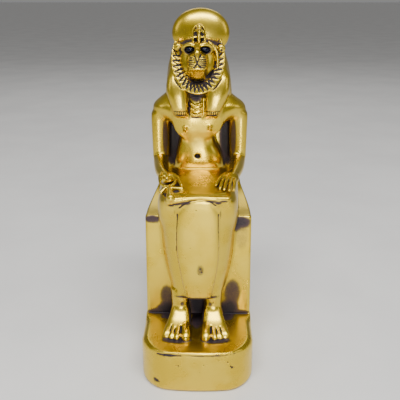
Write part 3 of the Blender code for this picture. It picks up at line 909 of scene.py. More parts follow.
@dataclass(frozen=True)
class Torso:
    """Trunk with breasts and shoulders, the lap and the plate behind the arms."""

    trunk: Rows = (
        (58.0, 0.0, 10.5, 9.0, 23.0), (64.0, 0.0, 9.8, 9.4, 23.0), (66.5, -0.1, 9.0, 8.5, 23.0),
        (69.0, -0.15, 8.4, 7.8, 23.0), (71.5, -0.25, 7.8, 7.8, 23.0), (75.0, -0.7, 6.6, 7.9, 23.0),
        (77.4, -0.65, 6.2, 7.8, 23.0), (80.6, -0.4, 8.6, 7.3, 23.0), (84.0, -0.3, 11.2, 6.9, 22.8),
        (88.0, -0.4, 14.4, 7.8, 22.0), (90.4, -0.4, 13.0, 9.6, 21.0), (92.4, -0.4, 11.0, 11.0, 20.0),
        (97.0, -0.4, 6.0, 11.0, 19.0))
    plate: Rows = (
        (50.0, 0.0, 14.8, 17.2, 25.5), (66.0, 0.0, 14.6, 17.2, 25.5), (80.0, 0.0, 13.8, 17.0, 24.5),
        (88.0, 0.0, 13.0, 16.5, 23.0), (90.5, 0.0, 11.0, 16.5, 22.0))
    lap: Rows = (
        (-16.4, 0.1, 9.2, 61.4, 63.5), (-15.3, 0.1, 11.0, 58.5, 64.1), (-13.6, 0.0, 12.1, 55.0, 64.5),
        (-11.0, 0.0, 12.8, 51.5, 64.9), (-6.0, 0.0, 13.3, 47.0, 65.4), (0.0, 0.0, 13.7, 47.0, 65.8),
        (10.0, 0.0, 14.0, 47.0, 66.0), (20.0, 0.0, 13.6, 47.0, 65.0))
    breast: tuple[Point, Point] = ((-4.7, 8.8, 82.0), (3.8, 8.8, 82.3))
    # Painted shade fills the gaps between the arms and the trunk (the three pairs) and the spot by her right
    # waist; the two patches on the belly and between the breasts are a painted dark reflection.
    stains_and_shade: tuple[StainAndShade, ...] = (
        *pair(9.9, 16.8, 76.0, (3.0, 2.4, 11.0), 1.0), *pair(9.2, 15.8, 84.0, (2.6, 2.4, 3.4), 0.8),
        *pair(10.4, 15.0, 67.0, (2.6, 4.5, 1.6), 0.85),
        StainAndShade((-0.5, 7.9, 75.4), (2.6, 1.2, 1.8), 0.22), StainAndShade((0.1, 7.3, 80.0), (1.6, 1.4, 4.0), 0.14),
        StainAndShade((-8.0, 9.4, 69.4), (1.0, 1.2, 1.4), 0.25))

    def shape(self, clay: Clay) -> None:
        """Add the plate, the lap and the trunk.

        Args:
            clay: Clay that the forms are added to.
        """
        clay.add(Loft(self.plate, 5.0))
        clay.add(Loft(self.lap, 3.4, Along.DEEP, 1.2), 0.5)
        clay.add(Loft(self.trunk, 3.0), 0.5)
        for x, y, z in self.breast:
            clay.add(Ball((x, y, z), (3.8, 1.2, 4.4)), 2.0)
            clay.add(Limb(((x, 7.0, z - 1.1, 0.9), (x, 6.4, z - 1.1, 0.5))), 0.5)
        for side in (-1, 1):
            clay.add(Ball((side * 12.5, 15.2, 86.1), (3.9, 4.2, 3.5)), 2.8)
        clay.cut(Ball((0.4, -4.2, 66.7), (5.6, 9.8, 1.7)), 1.2)

    def carve(self, clay: Clay) -> None:
        """Sink the navel and the crease under the belly."""
        clay.cut(Ball((-0.55, 7.6, 70.9), (0.95, 1.4, 0.85)), 0.3)
        clay.cut(Limb(through(((-7.6, 8.6, 67.5, 0.18), (-4.0, 7.9, 66.5, 0.18), (0.3, 7.8, 66.2, 0.18),
                               (4.4, 7.9, 66.5, 0.18), (7.6, 8.6, 67.7, 0.2)))), 0.3)


@dataclass(frozen=True)
class Arms:
    """Bent arms, the flat left hand, the right fist and the ankh that it holds."""

    wrist: dict[int, float] = field(default_factory=lambda: {-1: 10.5, 1: 11.2})
    fingers: tuple[tuple[float, float, float, float], ...] = (
        (8.7, -5.6, 7.2, -10.6), (9.9, -6.0, 8.5, -12.0), (11.1, -6.3, 10.1, -12.7),
        (12.2, -6.8, 11.6, -12.5))
    loop_centre: Point = (-9.9, -8.0, 66.9)
    # Painted dark reflection on the upper arms' inner facets (the pair); painted shade in the ankh's loop,
    # the recesses round the cross and both hands, and the elbow creases.
    stains_and_shade: tuple[StainAndShade, ...] = (
        *pair(12.1, 12.8, 76.6, (1.2, 1.6, 9.0), 0.6), StainAndShade((-9.9, -8.0, 66.0), (2.0, 2.2, 1.5), 1.0),
        StainAndShade((-10.0, -13.8, 64.3), (1.3, 1.3, 0.9), 0.95), StainAndShade((-6.9, -12.6, 64.7), (1.2, 1.0, 0.7), 0.95),
        StainAndShade((-6.7, -6.6, 65.5), (1.3, 2.2, 0.9), 0.95), StainAndShade((6.9, -7.0, 65.4), (1.5, 2.6, 0.8), 0.8),
        StainAndShade((-13.6, 11.6, 69.7), (2.4, 1.6, 0.45), 0.5), StainAndShade((13.6, 11.6, 69.7), (2.0, 1.6, 0.4), 0.3))

    def shape(self, clay: Clay) -> None:
        """Add both arms with their hands.

        Args:
            clay: Clay that the forms are added to.
        """
        for side in (-1, 1):
            clay.add(self.upper_arm(side), 1.2)
            fore = ((13.9, 15.0, 70.6, 2.7), (13.8, 13.0, 68.4, 2.7), (13.5, 10.0, 67.5, 2.65),
                    (13.0, 6.0, 67.2, 2.55), (12.2, 1.5, 66.9, 2.35), (self.wrist[side], -3.5, 66.6, 2.0))
            clay.add(Limb([(side * x, y, z, r) for x, y, z, r in through(fore)]), 0.4)
        self.flat_hand(clay)
        self.fist(clay)
        self.ankh(clay)

    def upper_arm(self, side: int) -> Facets:
        """Upper arm with a flat front, a facet turned inwards and a rounded outer side.

        Args:
            side: -1 for her right arm, 1 for her left.

        Returns:
            The arm's form.
        """
        def way(angle: float) -> float:
            """Direction of a face, mirrored for her right arm."""
            return angle if side > 0 else 180.0 - angle

        outer = ((68.0, 16.7), (72.5, 16.85), (78.0, 16.95), (83.0, 17.05), (88.0, 16.7))
        return Facets((
            (way(0.0), outer), (way(-90.0), ((68.0, -12.0), (78.0, -11.8), (88.0, -11.6))),
            (way(-125.0), ((68.0, -17.5), (78.0, -17.35), (88.0, -17.1))),
            (way(90.0), ((68.0, 18.4), (88.0, 18.8))),
            (way(-45.0), ((68.0, 2.7), (78.0, 2.95), (88.0, 2.9))),
            (way(180.0), ((68.0, -10.9), (88.0, -10.4)))),
            68.6, 85.4, 1.0)

    def flat_hand(self, clay: Clay) -> None:
        """Left hand laid on the knee.

        Args:
            clay: Clay that the forms are added to.
        """
        clay.add(Ball((10.7, -4.6, 66.6), (2.7, 3.0, 1.5), (6, 0, 4)), 1.2)
        for ax, ay, bx, by in self.fingers:
            finger = ((ax, ay, 67.2, 0.62), ((ax + bx) / 2, (ay + by) / 2, 66.7, 0.60), (bx, by, 65.4, 0.48))
            clay.add(Limb(through(finger)), 0.12)
        thumb = ((8.9, -2.1, 67.3, 0.85), (7.3, -5.2, 66.8, 0.75), (5.9, -8.6, 65.8, 0.5))
        clay.add(Limb(through(thumb)), 0.25)

    def fist(self, clay: Clay) -> None:
        """Right hand with the loop between thumb and fingers.

        Args:
            clay: Clay that the forms are added to.
        """
        clay.add(Ball((-10.2, -3.6, 66.9), (2.6, 2.4, 1.7)), 0.8)
        clay.cut(Ball((-9.9, -7.6, 66.6), (1.9, 1.9, 1.0)), 0.2)
        fingers = (
            ((-10.3, -4.6, 68.0, 0.7), (-10.2, -6.0, 67.8, 0.6), (-10.2, -7.0, 67.2, 0.5)),
            ((-12.1, -3.6, 67.9, 0.8), (-12.6, -5.8, 67.4, 0.65), (-12.5, -7.4, 66.3, 0.5)),
            ((-8.2, -3.8, 67.5, 0.8), (-6.5, -6.4, 67.1, 0.6), (-5.3, -9.4, 65.8, 0.5)))
        for finger in fingers:
            clay.add(Limb(through(finger)), 0.25)

    def ankh(self, clay: Clay) -> None:
        """Looped cross lying along the thigh down to the knee.

        Args:
            clay: Clay that the forms are added to.
        """
        x, y, z = self.loop_centre
        turns = [2 * math.pi * k / 28 for k in range(29)]
        clay.add(Limb([(x + 2.5 * math.sin(a), y + 2.6 * math.cos(a), z + 1.1 * math.cos(a), 0.44)
                       for a in turns]))
        stem = ((-9.4, -10.6, 65.8, 0.55), (-8.9, -13.3, 65.2, 0.8), (-8.4, -16.2, 63.9, 1.4))
        clay.add(Limb(through(stem)), 0.3)
        for tip in ((-11.7, -12.6, 64.5), (-5.1, -11.6, 65.4)):
            middle = (tip[0] * 0.5 - 9.2 * 0.5, -11.6, 65.6, 0.5)
            clay.add(Limb(through(((-9.2, -11.2, 65.7, 0.45), middle, (*tip, 0.7)))), 0.2)

    def carve(self, clay: Clay) -> None:
        """Sink the recesses round the cross, and the elbow creases.

        Args:
            clay: Clay that is cut.
        """
        clay.cut(Ball((-9.9, -8.4, 65.6), (1.7, 1.9, 0.7)), 0.1)
        clay.cut(Ball((-10.1, -14.2, 64.4), (0.9, 1.0, 0.45)), 0.1)
        clay.cut(Ball((-6.9, -12.8, 64.8), (0.9, 0.6, 0.4)), 0.1)
        clay.cut(Limb(((-7.3, -5.2, 65.9, 0.5), (-6.2, -8.0, 65.4, 0.35))), 0.1)
        for side in (-1, 1):
            clay.cut(Limb(((side * 16.2, 12.4, 69.9, 0.14), (side * 13.6, 11.4, 69.8, 0.2),
                           (side * 11.6, 12.6, 69.8, 0.2))), 0.15)


@dataclass(frozen=True)
class Dress:
    """Tight long dress over the shins with its raised front panel."""

    rows: Rows = (
        (26.4, 4.4, 8.7, -14.3, -9.8), (27.2, 4.5, 9.1, -14.5, -9.8), (31.0, 4.8, 10.1, -14.7, -9.6),
        (38.0, 5.4, 11.4, -15.0, -9.4), (44.5, 6.0, 12.0, -15.2, -9.8), (52.5, 6.9, 12.4, -15.4, -10.8),
        (58.0, 7.8, 12.7, -15.6, -11.8), (61.5, 8.4, 12.5, -15.6, -12.4), (63.6, 8.4, 12.0, -15.2, -12.4),
        (64.3, 8.0, 11.2, -14.4, -12.0))
    panel: Rows = (
        (26.6, 0.3, 4.2, -14.7, -11.0), (31.0, 0.3, 5.0, -15.1, -11.5), (37.0, 0.3, 6.0, -15.5, -12.0),
        (44.0, 0.2, 6.8, -15.8, -12.0), (51.0, 0.1, 6.9, -16.1, -12.0), (57.0, 0.2, 6.7, -16.4, -12.0),
        (60.8, 0.5, 5.2, -16.6, -12.0), (62.4, 0.8, 3.2, -16.5, -12.0), (63.2, 0.8, 1.0, -16.2, -12.0))
    lip: Path = ((-9.0, -15.5, 62.6, 1.4), (-6.0, -15.9, 63.2, 1.05), (0.0, -16.05, 63.95, 0.55),
                 (5.0, -15.95, 63.65, 0.75), (9.6, -15.2, 63.2, 1.0))
    pits: tuple[tuple[float, float, float], ...] = (
        (-2.4, 46.4, 0.22), (-5.4, 45.3, 0.2), (0.8, 43.5, 0.18), (-0.4, 59.8, 0.22), (0.2, 54.3, 0.16),
        (0.1, 53.2, 0.14), (-0.2, 51.6, 0.14), (0.9, 38.6, 0.28), (1.4, 37.4, 0.3), (0.3, 36.6, 0.22),
        (-2.2, 35.0, 0.16), (4.6, 47.0, 0.14), (-3.8, 31.0, 0.16))
    # The patches at z 61 to 63 are painted shadow and painted dark reflection under the lap's front lip; the
    # wide faint one is painted shade on the panel's right half, and the last is painted shade under the hem.
    # The streaks in the side grooves and the smudge are marks of the metal.
    stains_and_shade: tuple[StainAndShade, ...] = (
        StainAndShade((-8.3, -15.8, 61.3), (1.0, 1.2, 0.5), 0.8), StainAndShade((-6.7, -16.0, 61.9), (1.4, 1.2, 0.5), 0.85),
        StainAndShade((-7.3, -15.7, 55.5), (0.5, 1.0, 5.0), 0.35), StainAndShade((6.6, -16.1, 62.3), (1.2, 1.0, 0.5), 0.8),
        StainAndShade((7.4, -15.7, 55.5), (0.5, 1.0, 5.0), 0.5), StainAndShade((-3.9, -16.2, 62.2), (2.2, 1.0, 0.7), 0.7),
        StainAndShade((4.5, -16.2, 62.8), (2.2, 1.0, 0.5), 0.6), StainAndShade((8.2, -15.9, 62.9), (1.8, 0.8, 0.5), 0.7),
        StainAndShade((0.9, -15.5, 38.2), (1.4, 1.2, 2.4), 0.34),
        StainAndShade((2.6, -15.6, 45.0), (3.6, 1.2, 16.0), 0.07), StainAndShade((0.0, -13.5, 26.8), (8.6, 3.0, 0.7), 0.8))

    def shape(self, clay: Clay) -> None:
        """Add the dress, its panel and the lap's front edge.

        Args:
            clay: Clay that the forms are added to.
        """
        clay.add(Skirt(self.rows), 1.6)
        clay.add(Loft(self.panel, 4.0), 0.5)
        for side in (-1, 1):
            clay.cut(Ball((side * 8.2, -16.9, 59.6), (1.5, 1.3, 2.9)), 1.2)
        clay.add(Limb(through(self.lip)), 0.4)

    def carve(self, clay: Clay) -> None:
        """Sink the panel's side lines, the line over its arch and the pits.

        Args:
            clay: Clay that is cut.
        """
        for line in (((-6.5, 58.0, 0.32), (-6.9, 51.0, 0.26), (-7.1, 44.0, 0.14), (-6.5, 37.0, 0.06)),
                     ((6.8, 58.0, 0.32), (6.9, 51.0, 0.26), (7.1, 44.0, 0.14), (6.5, 37.0, 0.06))):
            clay.engrave(line, 0.22)
        clay.engrave(((-5.8, 60.4, 0.22), (-4.5, 61.6, 0.26), (-2.3, 62.9, 0.24), (0.8, 63.2, 0.12),
                      (4.0, 62.9, 0.2), (5.9, 61.4, 0.2)), 0.22)
        clay.engrave(((-9.0, 61.4, 0.18), (-7.2, 61.8, 0.24), (-5.6, 62.2, 0.18)), 0.3)
        for x, z, radius in self.pits:
            clay.pit(x, z, radius)


@dataclass(frozen=True)
class Feet:
    """Ankles, insteps and toes; the outer two toes of each foot are one broad form."""

    centre: float = -0.45
    ankle: Rows = (
        (14.0, 5.6, 3.6, -14.5, -4.0), (18.0, 5.6, 3.4, -14.0, -4.5), (22.0, 5.6, 3.05, -13.2, -5.0),
        (25.5, 5.6, 3.15, -13.2, -5.0), (29.0, 5.6, 3.3, -12.5, -5.0))
    sole: Rows = (
        (-20.6, 6.5, 3.8, 13.8, 16.6), (-19.4, 6.5, 4.1, 13.8, 17.5), (-18.0, 6.4, 4.25, 13.8, 18.4),
        (-16.4, 6.2, 4.2, 13.8, 19.5), (-14.4, 5.9, 3.9, 13.8, 21.2), (-12.5, 5.7, 3.5, 13.8, 22.6),
        (-8.0, 5.6, 3.2, 13.8, 21.0))
    toes: tuple[tuple[float, ...], ...] = (
        (3.4, -17.0, 3.4, -21.2, 1.70, 1.50), (5.95, -17.4, 6.4, -21.4, 1.05, 0.95),
        (7.5, -17.2, 8.25, -20.9, 0.98, 0.90), (9.35, -16.8, 10.15, -19.9, 1.15, 1.05))
    slots: tuple[tuple[float, ...], ...] = (
        (-5.55, -16.9, -5.75, -22.9, 0.46, 0.2), (-7.25, -16.8, -8.0, -22.4, 0.24, 0.17),
        (-8.75, -17.3, -9.5, -21.9, 0.22, 0.16), (4.6, -17.0, 4.6, -22.8, 0.42, 0.18),
        (6.2, -16.9, 6.75, -22.3, 0.24, 0.17), (7.55, -17.2, 8.5, -21.9, 0.22, 0.16))
    # Painted shade: the shadow under the toes, the shade between the feet, in the ankle dimples and beside
    # the ankles by the throne.
    stains_and_shade: tuple[StainAndShade, ...] = (
        StainAndShade((-6.8, -21.4, 15.2), (5.6, 2.2, 0.8), 0.9), StainAndShade((5.9, -21.4, 15.2), (5.6, 2.2, 0.8), 0.9),
        StainAndShade((-2.5, -12.0, 19.0), (0.8, 5.0, 5.0), 0.8), StainAndShade((1.6, -12.0, 19.0), (0.8, 5.0, 5.0), 0.8),
        StainAndShade((-5.3, -13.3, 24.0), (0.9, 0.8, 1.1), 0.5), StainAndShade((4.2, -13.3, 24.0), (0.9, 0.8, 1.1), 0.5),
        StainAndShade((-9.6, -8.0, 20.0), (1.2, 4.0, 6.0), 0.45), StainAndShade((8.8, -8.0, 20.0), (1.2, 4.0, 6.0), 0.45))

    def placed(self, side: int, rows: Rows) -> list[tuple[float, ...]]:
        """Rows of one foot, set to its side of the middle."""
        return [(a, side * b + self.centre, c, d, e) for a, b, c, d, e in rows]

    def shape(self, clay: Clay) -> None:
        """Add both feet.

        Args:
            clay: Clay that the forms are added to.
        """
        for side in (-1, 1):
            clay.add(Loft(self.placed(side, self.ankle), 2.4), 0.5)
            clay.add(Loft(self.placed(side, self.sole), 2.6, Along.DEEP, 1.4), 1.2)
            for ax, ay, bx, by, wide, tip in self.toes:
                toe = ((side * ax + self.centre, ay, 17.1, wide),
                       (side * (0.3 * ax + 0.7 * bx) + self.centre, 0.3 * ay + 0.7 * by, 16.5, wide),
                       (side * bx + self.centre, by, 15.9, tip))
                clay.add(Limb(through(toe)), 0.7)

    def carve(self, clay: Clay) -> None:
        """Part the toes and sink the dimples of the ankles.

        Args:
            clay: Clay that is cut.
        """
        for ax, ay, bx, by, wide, narrow in self.slots:
            upper = (ax * 0.6 + bx * 0.4, ay * 0.6 + by * 0.4, 17.5, wide)
            lower = (bx * 0.9 + ax * 0.1, by * 0.9 + ay * 0.1, 16.9, narrow * 1.2)
            clay.cut(Limb(((ax, ay, 18.3, wide * 0.7), upper, lower, (bx, by, 15.6, narrow))), 0.15)
        for x in (-5.3, 4.2):
            clay.cut(Ball((x, -13.5, 24.0), (0.6, 0.45, 0.8)), 0.15)
            clay.cut(Ball((x + 1.1, -13.3, 24.6), (0.3, 0.3, 0.4)), 0.1)


@dataclass(frozen=True)
class Wig:
    """Long wig with its fall behind, two front lappets and their banded ends."""

    hood: Rows = (
        (84.5, -0.3, 7.5, 15.0, 23.6), (87.0, -0.3, 9.4, 13.0, 24.2), (89.5, -0.25, 11.2, 9.5, 24.6),
        (91.5, -0.2, 11.6, 7.0, 24.7), (94.7, -0.2, 11.3, 5.8, 24.8), (98.0, -0.25, 10.9, 5.6, 24.4),
        (101.2, -0.3, 10.4, 6.2, 23.6), (104.5, -0.35, 9.5, 6.8, 22.3), (106.8, -0.3, 8.8, 7.2, 20.6),
        (108.8, -0.2, 7.4, 7.8, 19.0), (109.9, 0.0, 5.6, 8.6, 18.5), (110.6, 0.0, 3.4, 9.8, 18.0))
    lappets: tuple[tuple[int, tuple[tuple[float, float, float, float], ...]], ...] = (
        (-1, ((85.3, 3.8, 8.1, 4.8), (86.4, 3.7, 8.6, 3.7), (89.0, 3.5, 9.5, 3.0), (92.0, 3.4, 10.5, 3.1),
              (95.0, 3.4, 11.0, 3.7), (98.0, 3.4, 10.6, 5.0), (101.5, 3.6, 9.4, 8.0))),
        (1, ((85.3, 2.3, 6.5, 4.8), (86.4, 2.1, 7.0, 3.7), (89.0, 2.0, 8.2, 3.0), (92.0, 1.9, 9.6, 3.1),
             (95.0, 1.9, 10.4, 3.7), (98.0, 2.0, 10.4, 5.0), (101.5, 2.4, 9.0, 8.0))))
    # The third and fourth patches are a painted shadow under the lappets' ends; the others darken the
    # lappets' end bands and a spot on her left lappet.
    stains_and_shade: tuple[StainAndShade, ...] = (
        StainAndShade((-5.4, 3.4, 86.0), (3.2, 1.4, 0.5), 0.55), StainAndShade((4.9, 3.4, 86.0), (3.0, 1.4, 0.5), 0.6),
        StainAndShade((-6.0, 3.6, 85.0), (2.2, 2.0, 0.5), 0.7), StainAndShade((4.8, 3.6, 85.0), (2.2, 2.0, 0.5), 0.7),
        StainAndShade((5.2, 2.7, 88.8), (2.0, 1.2, 1.0), 0.22))

    def shape(self, clay: Clay) -> None:
        """Add the hood and both lappets.

        Args:
            clay: Clay that the forms are added to.
        """
        clay.add(Loft(self.hood, 2.3))
        for side, rows in self.lappets:
            table = [(z, side * (inner + outer) / 2, (outer - inner) / 2, front, 12.0)
                     for z, inner, outer, front in rows]
            clay.add(Loft(table, 2.8), 1.6)

    def carve(self, clay: Clay) -> None:
        """Cut the bands at the lappets' ends into rows of locks.

        Args:
            clay: Clay that is cut.
        """
        for side, rows in self.lappets:
            stations = [r[0] for r in rows]
            for z, radius in ((87.4, 0.15), (85.95, 0.26)):
                inner, outer = [float(glide(stations, [r[i] for r in rows], np.array([z]))[0])
                                for i in (1, 2)]
                clay.engrave(((side * (inner + 0.3), z, radius), (side * (outer - 0.4), z, radius)), 0.16)
            for t in np.linspace(0.12, 0.88, 6):
                x = side * (rows[1][1] + (rows[1][2] - rows[1][1]) * float(t))
                clay.engrave(((x, 87.3, 0.17), (x, 86.0, 0.2)), 0.18)
                clay.pit(x + 0.3, 87.5, 0.2)


@dataclass(frozen=True)
class Necklace:
    """Neck plate between the lappets with three hanging rows of beads."""

    rows: tuple[tuple[Point, ...], ...] = (
        ((-3.0, 6.0, 89.8), (-1.3, 5.1, 89.1), (1.0, 5.9, 89.9)),
        ((-3.0, 5.8, 88.1), (-1.3, 4.9, 87.6), (1.1, 5.6, 88.2)),
        ((-2.8, 5.5, 86.3), (-1.3, 4.7, 85.9), (0.8, 5.3, 86.3)))
    # Painted shadow under the ruff over the plate (the first two), under the lowest bead row, and between the
    # plate and her right lappet.
    stains_and_shade: tuple[StainAndShade, ...] = (
        StainAndShade((-0.9, 6.0, 91.6), (2.7, 1.6, 1.6), 1.0), StainAndShade((-0.9, 5.9, 93.4), (3.0, 2.0, 1.6), 1.0),
        StainAndShade((-0.9, 5.8, 84.9), (2.4, 2.0, 0.5), 0.95), StainAndShade((-3.2, 5.6, 88.0), (0.5, 2.0, 4.0), 0.7))

    def shape(self, clay: Clay) -> None:
        """Add the plate, the bead rows and the tress beside them.

        Args:
            clay: Clay that the forms are added to.
        """
        plate = ((85.0, -0.8, 2.6, 6.2, 12.0), (88.0, -0.8, 3.0, 6.4, 12.0), (94.0, -0.8, 3.4, 7.4, 12.0))
        clay.add(Loft(plate, 3.0))
        for row in self.rows:
            path = through([(*point, 0.36) for point in row], 6)
            clay.add(Limb(path), 0.1)
            for x, y, z, _ in path[::2]:
                clay.add(Ball((x, y - 0.05, z), (0.4, 0.5, 0.52)), 0.1)
        clay.add(Limb(((1.6, 4.4, 91.5, 0.3), (1.65, 4.3, 86.0, 0.28))), 0.1)

    def carve(self, clay: Clay) -> None:
        """Deepen the gaps between the rows."""
        for z in (88.6, 86.9):
            gap = ((-2.8, 5.9, z + 0.3, 0.18), (-1.3, 5.3, z - 0.25, 0.2), (0.9, 5.8, z + 0.35, 0.18))
            clay.cut(Limb(gap), 0.05)


@dataclass(frozen=True)
class Mane:
    """Ruff of tufts around the face."""

    tufts: int = 25
    ring: Oval = Oval()
    half: float = 1.45
    deep: float = 3.0
    # Painted shade in the hollow between her left cheek and the ruff, under the chin inside the ruff, and by
    # her right ear.
    stains_and_shade: tuple[StainAndShade, ...] = (
        StainAndShade((4.2, 6.0, 99.2), (1.4, 2.6, 2.0), 0.5), StainAndShade((-0.3, 4.6, 96.7), (4.0, 1.6, 0.6), 0.9),
        StainAndShade((-6.7, 7.6, 106.2), (0.8, 1.2, 1.8), 0.35))

    def gap_radius(self, angle: float) -> float:
        """Radius of the gap inside the ring, widest under her left cheek."""
        widest = math.exp(-((math.degrees(angle) - 50) / 24) ** 2)
        return 0.16 + 0.34 * widest + 0.1 * max(math.cos(angle), 0.0)

    def shape(self, clay: Clay) -> None:
        """Add the flat ring."""
        clay.add(Ruff(self.ring, self.half, self.deep))

    def carve(self, clay: Clay) -> None:
        """Cut the tufts apart, the gap inside the ring and the line round it.

        Args:
            clay: Clay that is cut.
        """
        sweep = self.ring.sweep * 0.985
        pace = 2 * sweep / self.tufts
        for k in range(self.tufts):
            angle = -sweep + pace * (k + 0.5)
            lean = -0.35 * math.sin(angle) * pace
            ragged = 0.25 * math.sin(5.1 * k)
            inner = self.ring.point(angle - 0.24 * pace + lean, -1.6, 0.10)
            outer = self.ring.point(angle + 0.28 * pace - lean, 1.15 + ragged, 0.0)
            after = self.ring.point(angle + 0.62 * pace + lean, -0.9 - ragged, 0.0)
            clay.cut(Limb(((*inner, 0.40), (*outer, 0.2))), 0.06)
            clay.cut(Limb(((*outer, 0.18), (*after, 0.2))), 0.06)
        steps = [-sweep + 2 * sweep * k / 44 for k in range(45)]
        rim = [(*self.ring.point(a, self.half + 0.3 + 0.25 * max(math.cos(a), 0.0), 0.3), 0.22)
               for a in steps]
        clay.cut(Limb(rim), 0.05)
        gap = [(*self.ring.point(a, -2.1 - 0.2 * math.cos(a), 0.6), self.gap_radius(a)) for a in steps[4:-4]]
        clay.cut(Limb(gap), 0.2)


@dataclass(frozen=True)
class Face:
    """Lioness face: cheeks, brows, nose, square muzzle down to the chin, and ears."""

    muzzle: Rows = (
        (97.6, FACE_X, 1.6, 4.0, 9.0), (98.6, FACE_X, 2.2, 2.9, 9.0), (99.6, FACE_X, 2.5, 2.0, 9.0),
        (100.6, FACE_X, 2.7, 1.0, 9.0), (101.2, FACE_X, 2.9, 0.1, 9.0), (101.8, FACE_X, 3.0, -0.4, 9.0),
        (103.0, FACE_X, 3.0, -0.3, 9.0), (104.5, FACE_X, 2.95, 0.0, 9.0), (105.6, FACE_X, 2.85, 0.5, 9.0),
        (106.2, FACE_X, 2.6, 1.6, 9.0), (106.8, FACE_X, 1.9, 3.2, 9.0), (108.2, FACE_X, 1.3, 4.4, 9.0))
    ears: tuple[Point, Point] = ((-7.0, 8.4, 107.9), (7.4, 8.4, 107.5))
    whiskers: tuple[tuple[float, float, float], ...] = (
        (-2.7, -1.8, 105.2), (-3.1, -1.5, 104.5), (-3.15, -1.5, 103.7), (-3.1, -1.6, 103.1),
        (-2.6, -1.7, 102.45), (0.7, 2.0, 105.45), (0.6, 2.5, 104.65), (0.6, 2.6, 104.0),
        (0.7, 2.6, 103.4), (0.8, 2.4, 102.8), (0.9, 2.0, 102.2))
    # Painted shade by her right ear and a painted grey reflection on the nose's top; the other patches darken
    # the eye sockets and the hollow of her left ear.
    stains_and_shade: tuple[StainAndShade, ...] = (
        StainAndShade((-2.9, 4.6, 107.4), (2.1, 1.6, 1.35), 0.75), StainAndShade((2.1, 4.6, 107.4), (2.1, 1.6, 1.35), 0.75),
        StainAndShade((7.4, 7.6, 107.0), (0.45, 0.9, 0.4), 0.9), StainAndShade((-6.0, 7.6, 106.4), (0.6, 1.4, 1.8), 0.6),
        StainAndShade((-0.3, 0.4, 105.4), (0.9, 1.2, 0.9), 0.35),
        StainAndShade((-3.1, 4.6, 107.0), (1.6, 1.2, 1.2), 0.9), StainAndShade((2.3, 4.6, 107.0), (1.6, 1.2, 1.2), 0.9))

    def shape(self, clay: Clay) -> None:
        """Add the head's masses.

        Args:
            clay: Clay that the forms are added to.
        """
        x = FACE_X
        clay.add(Ball((x, 9.6, 107.2), (5.6, 4.6, 2.5)))
        clay.add(Ball((x, 8.8, 103.6), (6.2, 5.0, 6.6)), 0.3)
        clay.add(Ball((x, 7.6, 101.8), (5.2, 4.6, 4.6)), 1.0)
        clay.add(Loft(self.muzzle, 4.2), 1.0)
        clay.add(Limb(through(((x, 3.9, 108.6, 1.05), (x, 2.4, 107.6, 1.0), (x, 0.9, 106.8, 0.95),
                               (x, 0.3, 105.5, 0.8), (x, -0.1, 104.0, 0.5)))), 0.5)
        for side in (-1, 1):
            clay.add(Ball((x + side * 2.6, 6.0, 107.3), (2.5, 1.9, 1.8)), 0.5)
            brow = ((x + side * 0.6, 4.0, 108.5, 0.6), (x + side * 2.4, 4.1, 109.1, 0.62),
                    (x + side * 4.3, 5.3, 108.4, 0.6), (x + side * 5.0, 6.4, 107.2, 0.5))
            clay.add(Limb(through(brow)), 0.3)
        for ear in self.ears:
            tilt = (0.0, math.copysign(30.0, ear[0]), math.copysign(15.0, ear[0]))
            clay.add(Ball(ear, (1.4, 1.0, 1.3), tilt), 0.6)
        clay.cut(Limb(((-2.4, 0.75, 100.7, 0.3), (x, 0.3, 100.6, 0.34), (1.6, 0.75, 100.7, 0.3))), 0.6)

    def carve(self, clay: Clay) -> None:
        """Cut the nose's sides, the mouth, the whisker lines and the ears' hollows.

        Args:
            clay: Clay that is cut.
        """
        lines = (
            ((-1.3, 105.9), (-0.8, 104.6), (-0.4, 103.5)), ((0.7, 106.2), (0.2, 104.7), (-0.2, 103.9)),
            ((-0.4, 103.5), (-1.4, 102.2)), ((-0.4, 103.5), (0.9, 102.1)))
        for line in lines:
            clay.engrave([(x, z, 0.27) for x, z in line], 0.36, 0.3)
        for start, end, z in self.whiskers:
            clay.engrave(((start, z, 0.21), (end, z, 0.21)), 0.32, 0.3)
        clay.pit(7.4, 107.0, 0.34)
        clay.pit(-6.9, 107.4, 0.22)


